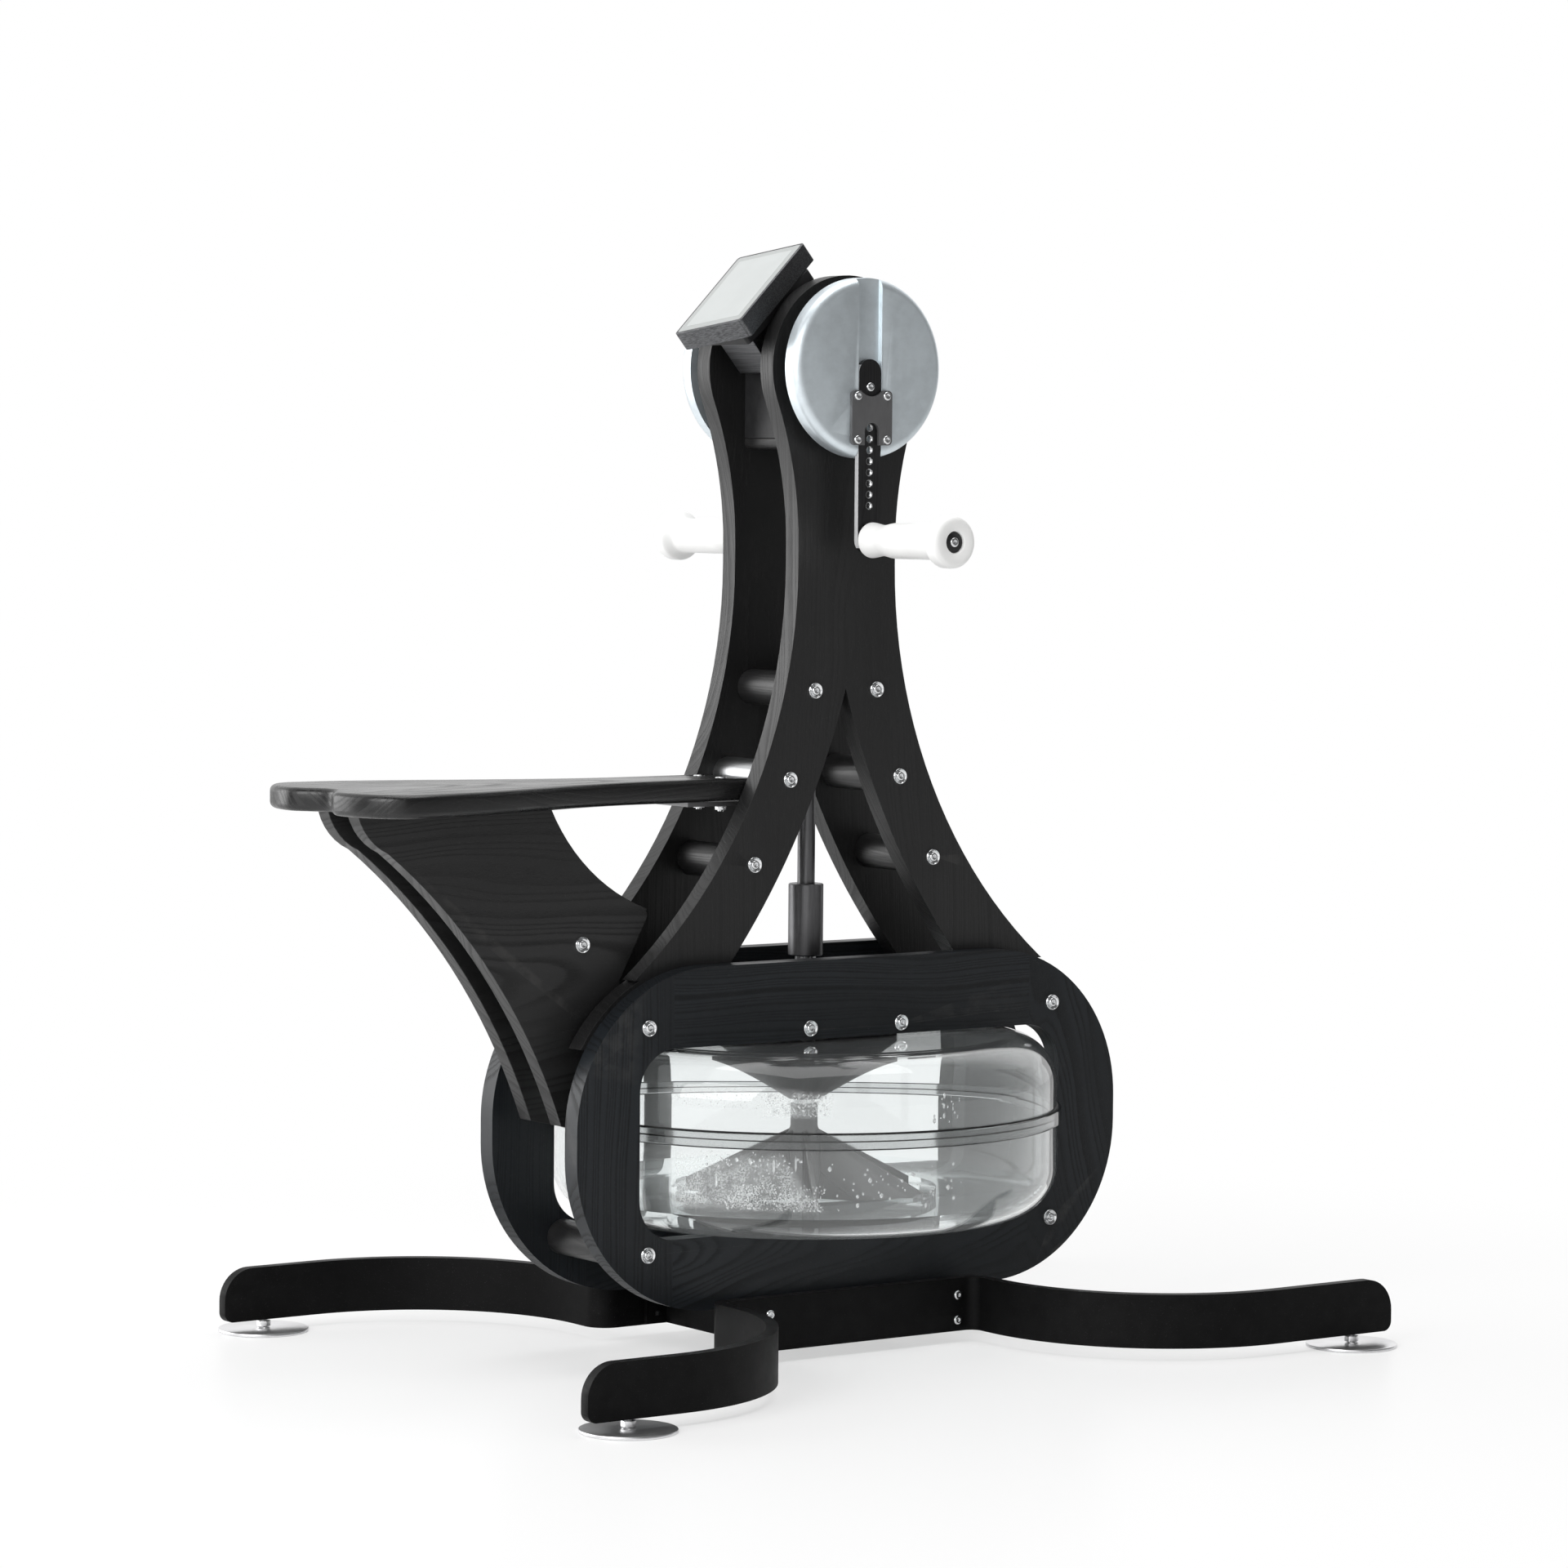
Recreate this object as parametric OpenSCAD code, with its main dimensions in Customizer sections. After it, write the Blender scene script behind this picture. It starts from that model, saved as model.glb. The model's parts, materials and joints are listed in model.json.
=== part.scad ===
// Upper-body crank trainer with a water tank: a seated user turns two hand
// cranks, and a bevel gear and an upright shaft drive a paddle in the tank.
// Millimetres, +Z up, seat towards -X, the user's right hand towards -Y.
// The origin lies on the floor under the middle of the whole machine's box.
// Each piece is drawn around the paddle shaft's axis and then moved there.

/* [Side panels] */
// Length of a side panel
panel_len = 674; // [620:2:720]
// Height of a side panel
panel_h = 345; // [330:1:380]
// Thickness of a side panel
panel_t = 22; // [16:1:26]
// Radius of a side panel's corners
panel_r = 160; // [120:2:162]
// Distance between the inner faces of the two side panels
panel_gap = 134; // [130:1:160]
// Height of the panels' lower edge above the floor
panel_z = 57; // [55:1:80]
// Radius of the window's corners
window_r = 42; // [20:1:60]

/* [Uprights] */
// Thickness of an upright
upright_t = 22; // [16:1:23]
// Height of the crank axis above the floor
crank_z = 999; // [930:1:1060]
// Radius of the round head
head_r = 94; // [88:1:96]
// Half of the width at the neck
neck_half = 60.5; // [52:0.5:68]
// Height of the neck, where the head's lower curves end
neck_z = 820; // [780:1:860]
// Radius of the flare on the outside of a leg
flare_r = 530; // [500:5:640]
// Height of the crotch between the legs
crotch_z = 675; // [600:1:700]
// Radius of the curve on the inside of a leg
crotch_r = 799; // [700:5:900]
// Distance from the middle to the inner corner of a leg's foot
leg_in = 210; // [190:1:225]

/* [Cross bars] */
// Radius of the wooden dowels and of the steel seat bar
dowel_r = 18; // [14:0.5:20]
// Radius of the screws' shanks in the timber
screw_r = 3; // [2.5:0.5:4]
// Radius of the cup washers
cup_r = 8.5; // [7:0.5:10]

/* [Base] */
// Distance from the paddle shaft to the end of a front leg
base_reach = 500; // [480:2:540]
// Distance from the paddle shaft to the end of a rear leg
rear_reach = 492; // [480:2:540]
// Distance from the middle to a leg bar's far stretch, across the machine
base_half = 342; // [310:2:380]
// Gap between a panel's outer face and the base bar beside it
bar_gap = 8; // [4:0.5:14]
// Thickness of a base bar
bar_t = 12; // [10:1:14]
// Height of a base bar
bar_h = 55; // [48:1:60]
// Height of a base bar's lower edge above the floor
bar_z = 12.5; // [11:0.5:20]
// Radius of the wide bend of a leg, at its middle line
leg_bend = 200; // [150:5:215]
// Radius of the tight bend at a leg's root, at its middle line
root_bend = 18; // [14:1:24]
// Distance from the middle to a rear leg's root
root_rear = 183; // [160:1:200]
// Distance from the middle to a front leg's root
root_front = 146; // [142:1:200]
// Radius of a foot disc
foot_r = 47; // [35:1:60]
// Distance from a leg's end to its foot's stud
foot_inset = 49; // [49:1:90]

/* [Tank] */
// Outer radius of the tank
tank_r = 260; // [220:1:262]
// Height of the tank
tank_h = 185.4; // [150:0.2:190]
// Wall of the tank
tank_wall = 5; // [3:0.5:8]
// Radius of the tank's rounded shoulders, outside
shoulder_r = 50; // [30:1:60]
// Height of the seam band
band_h = 15; // [10:1:20]
// How far the seam band stands out
band_proud = 5; // [3:0.5:6]
// Depth of the water
water_d = 21; // [10:1:50]

/* [Drive] */
// Radius of the drum discs
drum_r = 91; // [80:1:92]
// Thickness of a drum disc
drum_t = 20; // [16:1:26]
// Gap between an upright and its drum
drum_gap = 17; // [8:0.5:22]
// Distance from the crank axis to the grip's axis
crank_len = 173; // [150:1:190]
// Width of a crank arm
arm_w = 27.5; // [22:0.5:32]
// Thickness of a crank arm
arm_t = 6; // [5:0.5:9]
// Distance between neighbouring holes in a crank arm
hole_pitch = 11.2; // [10.4:0.2:12.4]
// Radius of the crank axle
axle_r = 10; // [8:0.5:12]
// Radius of the upright drive shaft
shaft_r = 9; // [8:0.5:11]
// Radius of the coupling sleeve
sleeve_r = 18; // [15:0.5:19]
// Length of the coupling sleeve
sleeve_len = 74; // [60:1:90]
// Length of a grip
grip_len = 140; // [115:1:150]
// Radius of a grip at its waist
grip_r = 18; // [15:0.5:20]
// Radius of the grip's end knob
knob_r = 26; // [22:0.5:30]

/* [Seat] */
// Distance from the paddle shaft to the seat's rear end
seat_reach = 588; // [550:1:640]
// Height of the seat's top face
seat_z = 585; // [570:0.5:592]
// Thickness of the seat board
seat_t = 23; // [18:0.5:28]
// Width of the seat across its two lobes
seat_w = 248; // [210:2:300]
// Thickness of a gusset
gusset_t = 20; // [14:1:24]
// Distance from the middle to a gusset's middle plane
gusset_y = 28; // [22:1:36]

/* [Monitor] */
// Width of the monitor
monitor_w = 97; // [80:1:110]
// Height of the monitor, along its face
monitor_h = 129; // [100:1:140]
// Thickness of the monitor's case
monitor_t = 21; // [16:1:28]
// Tilt of the monitor's face from the level
monitor_tilt = 40; // [30:1:55]
// Turn of the monitor on its swivel
monitor_turn = 12; // [0:1:20]

/* [Hidden] */
$fn = 96;

// colours
stained_ash = "#262628";
dark_wood = "#1d1d1e";
black_steel = "#1a1a1b";
steel = "#c4c6c8";
aluminium = "#9ea7ae";
dark_metal = "#47494c";
black_plastic = "#202122";
white_plastic = "#e9e9e6";
clear_plastic = [0.82, 0.86, 0.88, 0.35];
water_blue = [0.62, 0.76, 0.82, 0.5];
screen_grey = "#d9dddc";

// clearances
fit = 0.1;          // a bore around a fixed piece, on the radius
run = 0.05;         // a running fit, on the radius
slack = 0.3;        // between pieces that move past each other

// where the drawing's shaft axis lies in the machine's own frame
origin_x = (seat_reach - base_reach) / 2;

// side panels and what they hold
panel_in = panel_gap / 2;
panel_out = panel_in + panel_t;
panel_mid = panel_z + panel_h / 2;
upright_in = panel_in - upright_t;
bolt_inset = 84;                    // corner bolts, from a panel's end
bolt_high = 58;                     // corner bolts, from a panel's upper edge
bolt_low = 61;                      // corner bolts, from a panel's lower edge
corner_bolt_x = panel_len / 2 - bolt_inset;
upper_bolt_z = panel_z + panel_h - bolt_high;
lower_bolt_z = panel_z + bolt_low;

// tank
tank_z = 134;                       // the tank's underside
cushion_t = 3;
window_play = 2.6;                  // above the tank
window_side = 6.5;                  // beside the seam band, at the inner face
tank_top = tank_z + tank_h;
band_r = tank_r + band_proud;
window_half = sqrt(band_r * band_r - panel_in * panel_in) + window_side;
window_z0 = tank_z - cushion_t;
window_z1 = tank_top + window_play;
seam_z = tank_z + 103.5;
gasket_t = 1;
tank_bar_x = 57;
tank_bar_r = 14;
tank_bar_z = tank_top + tank_bar_r;
cushion_half = 120;

// uprights
leg_foot_z = tank_top + 4.6;
leg_proud = 4;                      // past the panel's outline
leg_clip_z = panel_z + panel_h - 13;
neck_drop = crank_z - neck_z;
flare_z = neck_z - 20;              // where the legs start to spread
fillet_r = (neck_half * neck_half + neck_drop * neck_drop - head_r * head_r)
    / (2 * (head_r - neck_half));
// the upper, middle and lower cross bars between the uprights, [x, z]
bar_upper = [38.5, 673.5];
bar_middle = [68.8, seat_z - 1];
bar_lower = [112, 499.5];

// base
bar_in = panel_out + bar_gap;
bar_mid = bar_in + bar_t / 2;
bar_out = bar_in + bar_t;
bar_top = bar_z + bar_h;
foot_x = [-rear_reach + foot_inset, base_reach - foot_inset];
foot_t = 3.5;
stud_r = 4;
stud_play = 0.15;
stud_top = bar_z + 26;
stud_room = 3;                      // above the stud, for screwing the foot in
nut_flats = 13;
nut_z = 5;
nut_h = 6;
channel_t = 5;
channel_x = 102;                    // inner face of a channel's web
channel_w = 30;
base_screw_x = channel_x + 16;
base_screw_z = [bar_z + 11.5, bar_z + 37.5];

// drive
drum_in = panel_in + drum_gap;
drum_out = drum_in + drum_t;
slot_floor = drum_out - arm_t - 0.2;
arm_in = slot_floor + 0.1;
axle_end = slot_floor - 4.3;        // the axle ends inside the drum's web
arm_out = arm_in + arm_t;
arm_top = crank_z + 9;
grip_z = crank_z - crank_len;
grip_in = drum_out + 5;
slot_play = 0.6;                    // on each side of an arm in its slot
plate_w = 50;
plate_h = 55;
plate_t = 4;
plate_z = crank_z - 50;
plate_hole = [18, 22];
housing_half = 50;
housing_wall = 5;
housing_h = 116;
board_t = 11;
board_z = crank_z - 82;
gear_r = 36;                        // pitch radius of the crank gear
pinion_r = 18;                      // pitch radius of the pinion
gear_teeth = 24;
pinion_teeth = 12;
tooth_h = 4;
bearing_r = 26;
shaft_bearing_r = 20;
sleeve_z = 398;
sleeve_mid = sleeve_z + sleeve_len / 2;
stub_r = 11;
boss_r = 24;
boss_h = 8;
paddle_r = 134;
paddle_z = tank_z + 12;
hub_r = 14;
plug_x = 150;
plug_r = 14.8;

// seat
seat_low = seat_z - seat_t;
seat_front = bar_middle[0] + dowel_r + 5.5;
gusset_bolt = [-299, 425];

// monitor, [x, z] of the middle of its face
monitor_at = [-89, crank_z + 80];
plate_gap = 0.3;
backing_t = 14;
swivel_r = 5;

// ---- helpers ----

// moves a piece from the shaft's axis into the machine's frame
module placed() translate([origin_x, 0, 0]) children();

// mirrors a piece drawn on the left, +Y, side to the side asked for
module on_side(side) mirror([0, side > 0 ? 0 : 1, 0]) children();

// raises an outline drawn in X and Z from y0 to y1
module slab(y0, y1)
    translate([0, y1, 0]) rotate([90, 0, 0]) linear_extrude(y1 - y0)
        children();

// a round bar along Y at [x, z]
module bar_y(at, r, y0, y1)
    translate([at[0], y1, at[1]]) rotate([90, 0, 0])
        cylinder(r = r, h = y1 - y0);

// a rounded rectangle around the origin
module rounded(w, h, r) {
    square([w - 2 * r, h], center = true);
    square([w, h - 2 * r], center = true);
    for (sx = [-1, 1], sy = [-1, 1])
        translate([sx * (w / 2 - r), sy * (h / 2 - r)]) circle(r = r);
}

// the sliver outside a quarter circle, for rounding off a square corner
module corner_waste(r)
    difference() {
        square([r + 1, r + 1]);
        circle(r = r);
    }

function arc(c, r, a0, a1, n) =
    [for (i = [0:n]) let(a = a0 + (a1 - a0) * i / n)
        [c[0] + r * cos(a), c[1] + r * sin(a)]];

function reversed(p) = [for (i = [len(p) - 1:-1:0]) p[i]];

function mirrored(p) = [for (q = reversed(p)) [-q[0], q[1]]];

// centre of the circle of radius r through a and b: on the left of the way
// from a to b, or on its right where r is negative
function centre_of(a, b, r) =
    let(d = b - a, h = norm(d) / 2, k = sqrt(r * r - h * h) / (2 * h))
    (a + b) / 2 + sign(r) * k * [-d[1], d[0]];

function angle_to(c, p) = atan2(p[1] - c[1], p[0] - c[0]);

// the short arc from a to b around that centre
function bow(a, b, r, n) =
    let(c = centre_of(a, b, r), a0 = angle_to(c, a),
        turn = angle_to(c, b) - a0,
        sweep = turn > 180 ? turn - 360 : (turn < -180 ? turn + 360 : turn))
    arc(c, abs(r), a0, a0 + sweep, n);

// ---- side panels and uprights ----

corner_bolts = [for (sx = [-1, 1], z = [upper_bolt_z, lower_bolt_z])
    [sx * corner_bolt_x, z]];
tank_bolts = [for (sx = [-1, 1]) [sx * tank_bar_x, tank_bar_z]];
panel_bolts = concat(corner_bolts, tank_bolts);
upright_bolts = [for (sx = [-1, 1], b = [bar_upper, bar_middle, bar_lower])
    [sx * b[0], b[1]]];
leg_bolts = [for (sx = [-1, 1]) [sx * corner_bolt_x, upper_bolt_z]];

module panel_outline(grow = 0)
    translate([0, panel_mid])
        rounded(panel_len + 2 * grow, panel_h + 2 * grow, panel_r + grow);

module panel(side)
    color(stained_ash) placed() on_side(side) difference() {
        slab(panel_in, panel_out) difference() {
            panel_outline();
            translate([0, (window_z0 + window_z1) / 2])
                rounded(2 * window_half, window_z1 - window_z0, window_r);
        }
        for (b = panel_bolts)
            bar_y(b, screw_r + fit, panel_in - 1, panel_out + 1);
        for (sx = [-1, 1])
            translate([sx * base_screw_x, (panel_in + panel_out) / 2,
                       panel_z - 1])
                cylinder(r = screw_r + fit, h = 33);
    }

// the right half of an upright's outline, from the top down and back up
function upright_half() =
    let(fillet_c = [neck_half + fillet_r, neck_z],
        head_a = angle_to([0, crank_z], fillet_c),
        flare_c = [neck_half + flare_r, flare_z],
        flare_a = asin((flare_z - leg_foot_z) / flare_r))
    concat(
        arc([0, crank_z], head_r, 90, head_a, 24),
        arc(fillet_c, fillet_r, 180 + head_a, 180, 10),
        arc(flare_c, flare_r, 180, 180 + flare_a, 28),
        bow([leg_in, leg_foot_z], [0, crotch_z], -crotch_r, 24));

module upright_outline()
    intersection() {
        polygon(concat(upright_half(), mirrored(upright_half())));
        union() {
            translate([-panel_len / 2, leg_clip_z])
                square([panel_len, crank_z]);
            panel_outline(leg_proud);
        }
    }

module upright(side)
    color(stained_ash) placed() on_side(side) difference() {
        slab(upright_in, panel_in) upright_outline();
        bar_y([0, crank_z], bearing_r + fit, upright_in - 1, panel_in + 1);
        for (b = concat(upright_bolts, leg_bolts))
            bar_y(b, screw_r + fit, upright_in - 1, panel_in + 1);
    }

// a wooden or steel bar between two plates, bored for a screw at each end
screw_grip = 25;                    // how deep a screw goes into its bar
module cross_bar(at, r, half)
    difference() {
        bar_y(at, r, -half, half);
        for (side = [-1, 1])
            on_side(side)
                bar_y(at, screw_r + fit, half - screw_grip - 1, half + 1);
    }

module panel_dowels()
    color(dark_wood) placed() for (sx = [-1, 1]) {
        cross_bar([sx * corner_bolt_x, upper_bolt_z], dowel_r, upright_in);
        cross_bar([sx * corner_bolt_x, lower_bolt_z], dowel_r, panel_in);
    }

// the five wooden bars; the sixth place, under the seat, has the steel one
module upright_dowels()
    color(dark_wood) placed() {
        for (sx = [-1, 1], b = [bar_upper, bar_lower])
            cross_bar([sx * b[0], b[1]], dowel_r, upright_in);
        cross_bar(bar_middle, dowel_r, upright_in);
    }

module seat_bar()
    color(steel) placed() cross_bar([-bar_middle[0], bar_middle[1]], dowel_r, upright_in);

module tank_bars()
    color(dark_wood) placed() for (b = tank_bolts) cross_bar(b, tank_bar_r, panel_in);

// ---- screws and cup washers ----

cup_floor = 0.6;
cup_h = 2.2;
head_of_screw = [4.6, 2.8];         // radius and height
socket_flats = 4;

// every visible screw: [place, y of the face it stands on, shank length]
gusset_out = gusset_y + gusset_t / 2;
gusset_in = gusset_y - gusset_t / 2;
screw_rows = concat(
    [for (b = leg_bolts) [b, panel_out, panel_t + upright_t + screw_grip]],
    [for (sx = [-1, 1])
        [[sx * corner_bolt_x, lower_bolt_z], panel_out, panel_t + screw_grip]],
    [for (b = tank_bolts) [b, panel_out, panel_t + screw_grip]],
    [for (b = upright_bolts) [b, panel_in, upright_t + screw_grip]],
    [[gusset_bolt, gusset_out, gusset_t + gusset_in - 1]]);

module socket_screw(at, y, length, shank_r, head)
    difference() {
        union() {
            bar_y(at, head[0], y, y + head[1]);
            bar_y(at, shank_r, y - length, y + head[1] / 2);
        }
        translate([at[0], y + head[1] + 1, at[1]]) rotate([90, 0, 0])
            cylinder(d = socket_flats / cos(30), h = head[1], $fn = 6);
    }

module frame_screws()
    color(steel) placed() for (side = [-1, 1], s = screw_rows)
        on_side(side)
            socket_screw(s[0], s[1] + cup_floor, s[2], screw_r, head_of_screw);

module cup_washers()
    color(steel) placed() for (side = [-1, 1], s = screw_rows)
        on_side(side) difference() {
            bar_y(s[0], cup_r, s[1], s[1] + cup_h);
            bar_y(s[0], head_of_screw[0] + 0.6, s[1] + cup_floor, s[1] + cup_h + 1);
            bar_y(s[0], screw_r + fit, s[1] - 1, s[1] + 1);
        }

// ---- base ----

// one end of a base bar, from the straight stretch out to the leg's end
module leg(root, reach) {
    far = base_half - leg_bend;
    translate([root - root_bend, bar_mid + root_bend, bar_z])
        rotate([0, 0, -90]) rotate_extrude(angle = 90)
            translate([root_bend - bar_t / 2, 0]) square([bar_t, bar_h]);
    translate([root - bar_t / 2, bar_mid + root_bend, bar_z])
        cube([bar_t, far - bar_mid - root_bend, bar_h]);
    translate([root + leg_bend, far, bar_z])
        rotate([0, 0, 90]) rotate_extrude(angle = 90)
            translate([leg_bend - bar_t / 2, 0]) square([bar_t, bar_h]);
    translate([root + leg_bend, base_half - bar_t / 2, bar_z])
        cube([reach - root - leg_bend, bar_t, bar_h]);
}

end_r = 33;                         // upper corner of a leg's end
toe_r = 10;                         // lower corner of a leg's end

module leg_end_waste(reach)
    slab(base_half - bar_t, base_half + bar_t) {
        translate([reach - end_r, bar_top - end_r]) corner_waste(end_r);
        translate([reach - toe_r, bar_z + toe_r]) mirror([0, 1])
            corner_waste(toe_r);
    }

module base_bar(side)
    color(black_steel) placed() on_side(side) difference() {
        union() {
            translate([root_bend - root_rear, bar_mid - bar_t / 2, bar_z])
                cube([root_rear + root_front - 2 * root_bend, bar_t, bar_h]);
            leg(root_front, base_reach);
            mirror([1, 0, 0]) leg(root_rear, rear_reach);
        }
        leg_end_waste(base_reach);
        mirror([1, 0, 0]) leg_end_waste(rear_reach);
        for (x = foot_x)
            translate([x, base_half, bar_z - 1])
                cylinder(r = stud_r + stud_play, h = stud_top + stud_room - bar_z + 1);
        for (sx = [-1, 1], z = base_screw_z)
            bar_y([sx * base_screw_x, z], screw_r + fit, bar_in - 1, bar_out + 1);
    }

// the bent steel channel that joins the two bars and carries the panels
module cross_channel(end)
    color(black_steel) placed() mirror([end > 0 ? 0 : 1, 0, 0]) difference() {
        union() {
            translate([channel_x, -bar_in, bar_z + 1])
                cube([channel_t, 2 * bar_in, panel_z - bar_z - 1]);
            translate([channel_x, -bar_in + channel_t, panel_z - channel_t])
                cube([channel_w, 2 * (bar_in - channel_t), channel_t]);
            for (side = [-1, 1])
                on_side(side)
                    translate([channel_x, bar_in - channel_t, bar_z + 1])
                        cube([channel_w, channel_t, panel_z - bar_z - 1]);
        }
        for (side = [-1, 1])
            on_side(side) {
                for (z = base_screw_z)
                    bar_y([base_screw_x, z], screw_r + fit,
                          bar_in - channel_t - 1, bar_in + 1);
                translate([base_screw_x, (panel_in + panel_out) / 2,
                           panel_z - channel_t - 1])
                    cylinder(r = screw_r + fit, h = channel_t + 2);
            }
    }

base_head = [5, 2.6];

// screws through the bars into the channels, and up into the panels
module base_screws()
    color(steel) placed() for (side = [-1, 1], sx = [-1, 1])
        on_side(side) {
            for (z = base_screw_z)
                socket_screw([sx * base_screw_x, z], bar_out,
                             bar_t + channel_t - 0.2, screw_r, base_head);
            translate([sx * base_screw_x, (panel_in + panel_out) / 2,
                       panel_z - channel_t - base_head[1]]) {
                cylinder(r = base_head[0], h = base_head[1]);
                cylinder(r = screw_r, h = channel_t + 30);
            }
        }

// a levelling foot: disc, stud and lock nut
module foot(x, side)
    color(steel) placed() translate([x, side * base_half, 0]) {
        cylinder(r = foot_r, h = foot_t);
        cylinder(r = stud_r, h = stud_top);
        translate([0, 0, nut_z]) difference() {
            cylinder(d = nut_flats / cos(30), h = nut_h, $fn = 6);
            translate([0, 0, -1]) cylinder(r = stud_r + run, h = nut_h + 2);
        }
    }

// ---- tank ----

fill_hole_r = plug_r + slack;
boss_hole_r = 19;

// the full outline of a tank shell, from the axis out, at a wall's inset
module tank_profile(inset) {
    r = shoulder_r - inset;
    half = tank_r - shoulder_r;
    for (z = [tank_z + shoulder_r, tank_top - shoulder_r])
        translate([half, z]) circle(r = r);
    translate([0, tank_z + inset]) square([half, tank_h - 2 * inset]);
    translate([0, tank_z + shoulder_r])
        square([tank_r - inset, tank_h - 2 * shoulder_r]);
}

module tank_shell(z0, z1)
    rotate_extrude() intersection() {
        difference() {
            tank_profile(0);
            tank_profile(tank_wall);
        }
        translate([0, z0]) square([tank_r + 1, z1 - z0]);
    }

module tank_lower()
    color(clear_plastic) placed() tank_shell(tank_z - 1, seam_z - gasket_t / 2);

module tank_upper()
    color(clear_plastic) placed() difference() {
        tank_shell(seam_z + gasket_t / 2, tank_top + 1);
        translate([0, 0, tank_top - tank_wall - 1])
            cylinder(r = boss_hole_r + fit, h = tank_wall + 2);
        translate([plug_x, 0, tank_top - tank_wall - 1])
            cylinder(r = fill_hole_r, h = tank_wall + 2);
    }

module ring(r0, r1, z, h)
    translate([0, 0, z]) difference() {
        cylinder(r = r1, h = h, $fn = 180);
        translate([0, 0, -1]) cylinder(r = r0, h = h + 2, $fn = 180);
    }

module tank_band()
    color(clear_plastic) placed() ring(tank_r + fit, band_r, seam_z - band_h / 2, band_h);

module tank_gasket()
    color(dark_metal) placed() ring(tank_r - tank_wall + 0.4, tank_r - 0.4, seam_z - gasket_t / 2, gasket_t);

// the water, without the space that the paddle turns in
module water() {
    floor_z = tank_z + tank_wall;
    c = [tank_r - shoulder_r, tank_z + shoulder_r];
    r = shoulder_r - tank_wall - fit;
    top_z = floor_z + water_d;
    sweep = [paddle_r + 3, paddle_z - 2];
    color(water_blue) placed() rotate_extrude() polygon(concat(
        [[0, sweep[1]], [0, floor_z + fit]],
        arc(c, r, -90, asin((top_z - c[1]) / r), 10),
        [[sweep[0], top_z], sweep]));
}

module tank_cushions()
    color(black_plastic) placed() for (side = [-1, 1])
        on_side(side)
            translate([-cushion_half, panel_in, window_z0])
                cube([2 * cushion_half, panel_t, cushion_t]);

// the flared bearing under the lid, its boss standing on the lid
cone_z = tank_top - 69;
cone_r = [16, 95];
cone_drop = 13;                     // the flare's rim below the lid's top
module bearing_cone() {
    bore = stub_r + run;
    lid = tank_top - tank_wall - fit;
    skin = 5;
    color(dark_metal) placed() rotate_extrude() polygon([
        [bore, cone_z], [cone_r[0], cone_z],
        [cone_r[1], tank_top - cone_drop], [cone_r[1], lid],
        [cone_r[1] - skin, lid], [cone_r[1] - skin, tank_top - cone_drop + 2],
        [boss_hole_r, cone_z + 9], [boss_hole_r, tank_top],
        [boss_r, tank_top], [boss_r, tank_top + boss_h],
        [bore, tank_top + boss_h]]);
}

module fill_plug()
    color(black_plastic) placed() translate([plug_x, 0, 0]) {
        translate([0, 0, tank_top]) cylinder(r = plug_r + 5, h = 7);
        translate([0, 0, tank_top - 8]) cylinder(r = plug_r, h = 9);
    }

// ---- drive ----

shaft_top = crank_z - gear_r + 9;
module drive_shaft()
    color(dark_metal) placed() translate([0, 0, sleeve_mid + 1])
        cylinder(r = shaft_r, h = shaft_top - sleeve_mid - 1);

module coupling_sleeve()
    color(dark_metal) placed() difference() {
        translate([0, 0, sleeve_z]) cylinder(r = sleeve_r, h = sleeve_len);
        translate([0, 0, sleeve_mid])
            cylinder(r = shaft_r + fit, h = sleeve_len);
        translate([0, 0, sleeve_z - 1])
            cylinder(r = stub_r + fit, h = sleeve_len / 2 + 2);
    }

shaft_foot = paddle_z - 1;
module tank_shaft()
    color(steel) placed() translate([0, 0, shaft_foot])
        cylinder(r = stub_r, h = sleeve_mid - 1 - shaft_foot);

blades = 6;
blade_t = 4;
hub_top = tank_z + 111;
hub_flare = tank_z + 71;
module paddle()
    color(black_plastic) placed() {
        rotate_extrude() polygon([
            [stub_r + fit, paddle_z], [hub_r + 6, paddle_z],
            [hub_r + 6, hub_flare], [hub_r, hub_flare + 17],
            [hub_r, hub_top], [stub_r + fit, hub_top]]);
        for (i = [0:blades - 1])
            rotate([90, 0, i * 360 / blades])
                translate([0, 0, -blade_t / 2]) linear_extrude(blade_t) polygon([
                    [hub_r + 2, paddle_z], [paddle_r, paddle_z],
                    [paddle_r, tank_z + 26], [hub_r + 2, hub_flare + 13]]);
    }

// a bevel gear on +Z: its pitch cone's apex is the origin, and its rim has
// pitch radius r at height z
module bevel_gear(r, z, teeth, bore, hub_len, phase) {
    slope = atan2(r, z);
    face = 10;
    land = 0.7;                     // the teeth end short of the cone's edges
    root = tooth_h / 2;
    rim = [r - root * cos(slope), z + root * sin(slope)];
    neck = rim - face * [sin(slope), cos(slope)];
    difference() {
        union() {
            rotate_extrude() polygon([
                [0, neck[1]], neck, rim, [rim[0], rim[1] + 3],
                [bore + 5, rim[1] + 3], [bore + 5, rim[1] + hub_len],
                [0, rim[1] + hub_len]]);
            for (i = [0:teeth - 1])
                rotate([0, 0, phase + i * 360 / teeth])
                    translate([r, 0, z]) rotate([0, slope, 0])
                        translate([0, 0, land - face])
                            linear_extrude(face - 2 * land) polygon([
                                [-root - 1, 1.9], [-root - 1, -1.9],
                                [root - 0.4, -0.9], [root - 0.4, 0.9]]);
        }
        translate([0, 0, -1]) cylinder(r = bore, h = rim[1] + hub_len + 2);
    }
}

module crank_gear()
    color(dark_metal) placed() translate([0, 0, crank_z]) rotate([-90, 0, 0])
        bevel_gear(gear_r, pinion_r, gear_teeth, axle_r + fit, 12, 0);

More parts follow.
